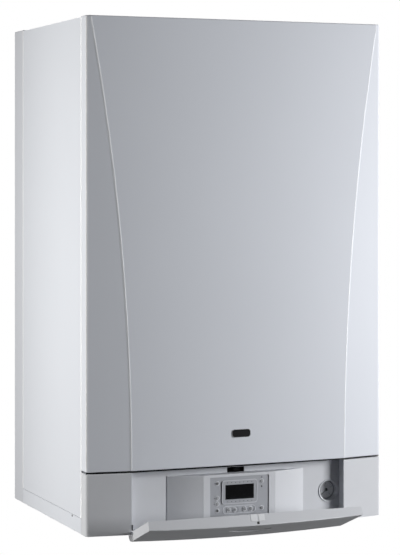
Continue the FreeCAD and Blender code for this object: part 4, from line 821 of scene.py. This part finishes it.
def addCreaseBeads():  # fine rolled edge along each crease of the front panel, paler than the panel as a painted highlight
    shape = bmesh.new()
    for side in (-1, 1):
        rod = bmesh.ops.create_circle(shape, cap_ends=False, segments=creaseBead["segments"],
                                      radius=creaseBead["radius"])["verts"]
        edges = list({e for v in rod for e in v.link_edges})
        last = Vector((0, 0, 0))
        for step in range(creaseBead["steps"] + 1):
            place = creaseSpot(side, step / creaseBead["steps"])
            if step:
                grown = bmesh.ops.extrude_edge_only(shape, edges=edges)["geom"]
                rod = [v for v in grown if isinstance(v, bmesh.types.BMVert)]
                edges = [e for e in grown if isinstance(e, bmesh.types.BMEdge)]
            bmesh.ops.translate(shape, verts=rod, vec=place - last)
            last = place
    bmesh.ops.holes_fill(shape, edges=[e for e in shape.edges if e.is_boundary], sides=0)
    for face in shape.faces:  # the beads' paler paint is a painted highlight; the left bead shines less
        face.material_index = 1 if face.calc_center_median().x < 0 else 0
    addPiece("creaseBeads", shape, [edgeHighlightFinish, creaseHighlightFinish])


cornerBead = {"round": 0.006, "radius": 0.0022, "segments": 24, "proud": 0.00035, "tilt": 36.0,
              "sideDepth": 0.45, "reach": 0.0052, "margin": 0.003}


def addCornerBeads():  # fine rolled line on the front panel's two upright corners, in the paler edge paint as a painted highlight
    low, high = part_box("front_panel")
    tilt = math.radians(cornerBead["tilt"])
    out = cornerBead["round"] + cornerBead["proud"] - cornerBead["radius"]
    y = -(cornerBead["sideDepth"] - cornerBead["reach"] + out * math.sin(tilt))
    foot, top = low.z + cornerBead["margin"], high.z - cornerBead["margin"]
    shape = bmesh.new()
    for side in (-1, 1):
        x = side * (high.x - cornerBead["round"] + out * math.cos(tilt))
        addRod(shape, cornerBead["radius"], cornerBead["segments"], x, y, foot, top)
    addPiece("cornerBeads", shape, [edgeHighlightFinish])


addBadge()
addGaugeScale()
addGaugeBezel()
addFlapStop()
addUnitMarks()
addThreads()
addHoseBarbs()
addFlueSeal()
addScrews()
addFootSeal()
addSideBeads()
addButtonRings()
addCreaseBeads()
addCornerBeads()
addUnitTrim()
addCapSigns()
addNeedleCap()
addTongueClip()
print("pieces: badge, gauge, control unit, flap, connections, screws, seal and beads")


# Stage, light and camera

white = (1, 1, 1, 1)
ground = {"height": -1.1, "radius": 3.4, "sides": 64, "tone": (0.8, 0.8, 0.8, 1), "lit": 0.22,
          "fadeFrom": 1.2, "fadeTo": 3.128}


def makeFloor():  # white to the camera, and lit near the object so that it keeps a shadow
    made = Finish("paleFloor")
    x, y, _ = made.axes()
    fade = 1 - made.band((x * x + y * y) ** 0.5, ground["fadeFrom"], ground["fadeTo"])
    seen, mirrored, through = made.rays("Camera", "Glossy", "Transmission")
    lit = made.node("ShaderNodeBsdfDiffuse", None, {"Color": ground["tone"]})
    plain = made.node("ShaderNodeEmission", None,
                      {"Color": white, "Strength": made.clampedSum(seen + mirrored, through)})
    made.close(made.node("ShaderNodeMixShader", None, {0: fade * ground["lit"], 1: plain, 2: lit}))
    shape = bmesh.new()
    bmesh.ops.create_circle(shape, cap_ends=True, segments=ground["sides"], radius=ground["radius"])
    bmesh.ops.translate(shape, verts=shape.verts, vec=(0, 0, ground["height"]))
    mesh = bpy.data.meshes.new("floor")
    shape.to_mesh(mesh)
    shape.free()
    mesh.materials.append(made.owner)
    floor = bpy.data.objects.new("floor", mesh)
    scene.collection.objects.link(floor)


room = {"ambient": 0.02, "backdropFrom": 0.0, "backdropTo": 0.35}


def makeWorld():  # the white backdrop hangs behind, and the room in front of it is dim
    made = Finish("studio", "worlds", "Generated")
    _, y, _ = made.axes()
    behind = made.band(y, room["backdropFrom"], room["backdropTo"])
    seen, mirrored, through = made.rays("Camera", "Glossy", "Transmission")
    clear = made.clampedSum(seen + through, mirrored * behind)
    dim = made.node("ShaderNodeBackground", None, {"Color": white, "Strength": room["ambient"]})
    plain = made.node("ShaderNodeBackground", None, {"Color": white, "Strength": 1.0})
    mixed = made.node("ShaderNodeMixShader", None, {0: clear, 1: dim, 2: plain})
    scene.world = made.close(mixed, "ShaderNodeOutputWorld")


lights = {
    "keySoftbox": {"at": (1.63, -1.665, 0.55), "to": (0.0, -0.45, 0.5), "size": (0.73, 1.0), "watts": 47.7,
                   "tint": (1, 1, 1)},
    "leftSoftbox": {"at": (-1.15, -0.37, 0.46), "to": (-0.3, -0.36, 0.44), "size": (0.16, 1.6),
                    "watts": 11.7, "tint": (1.0, 0.985, 0.95)},
    "rearSoftbox": {"at": (0.9, 2.4, 1.9), "to": (0.0, -0.2, 0.6), "size": (1.2, 1.2), "watts": 40.0,
                    "tint": (1, 1, 1)},
}


def makeLights():
    for name, given in lights.items():
        data = bpy.data.lights.new(name, "AREA")
        data.shape = "RECTANGLE"
        data.size, data.size_y = given["size"]
        data.energy = given["watts"]
        data.color = given["tint"]
        softbox = bpy.data.objects.new(name, data)
        softbox.location = given["at"]
        aim = Vector(given["to"]) - Vector(given["at"])
        softbox.rotation_euler = aim.to_track_quat("-Z", "Y").to_euler()
        softbox.visible_camera = False
        scene.collection.objects.link(softbox)


view = {"at": (-1.41791, -3.74745, 0.65643), "tilt": 90.0, "turn": -22.143, "sensor": 36.0, "focal": 123.97,
        "shift": (0.0, -0.18252), "far": 60.0}


def makeCamera():
    data = bpy.data.cameras.new("photoCamera")
    data.sensor_width = view["sensor"]
    data.lens = view["focal"]
    data.shift_x, data.shift_y = view["shift"]
    data.clip_end = view["far"]
    camera = bpy.data.objects.new("photoCamera", data)
    camera.location = view["at"]
    camera.rotation_euler = (math.radians(view["tilt"]), 0, math.radians(view["turn"]))
    scene.collection.objects.link(camera)
    scene.camera = camera


makeFloor()
makeWorld()
makeLights()
makeCamera()
print("stage: floor,", len(lights), "softboxes and camera")
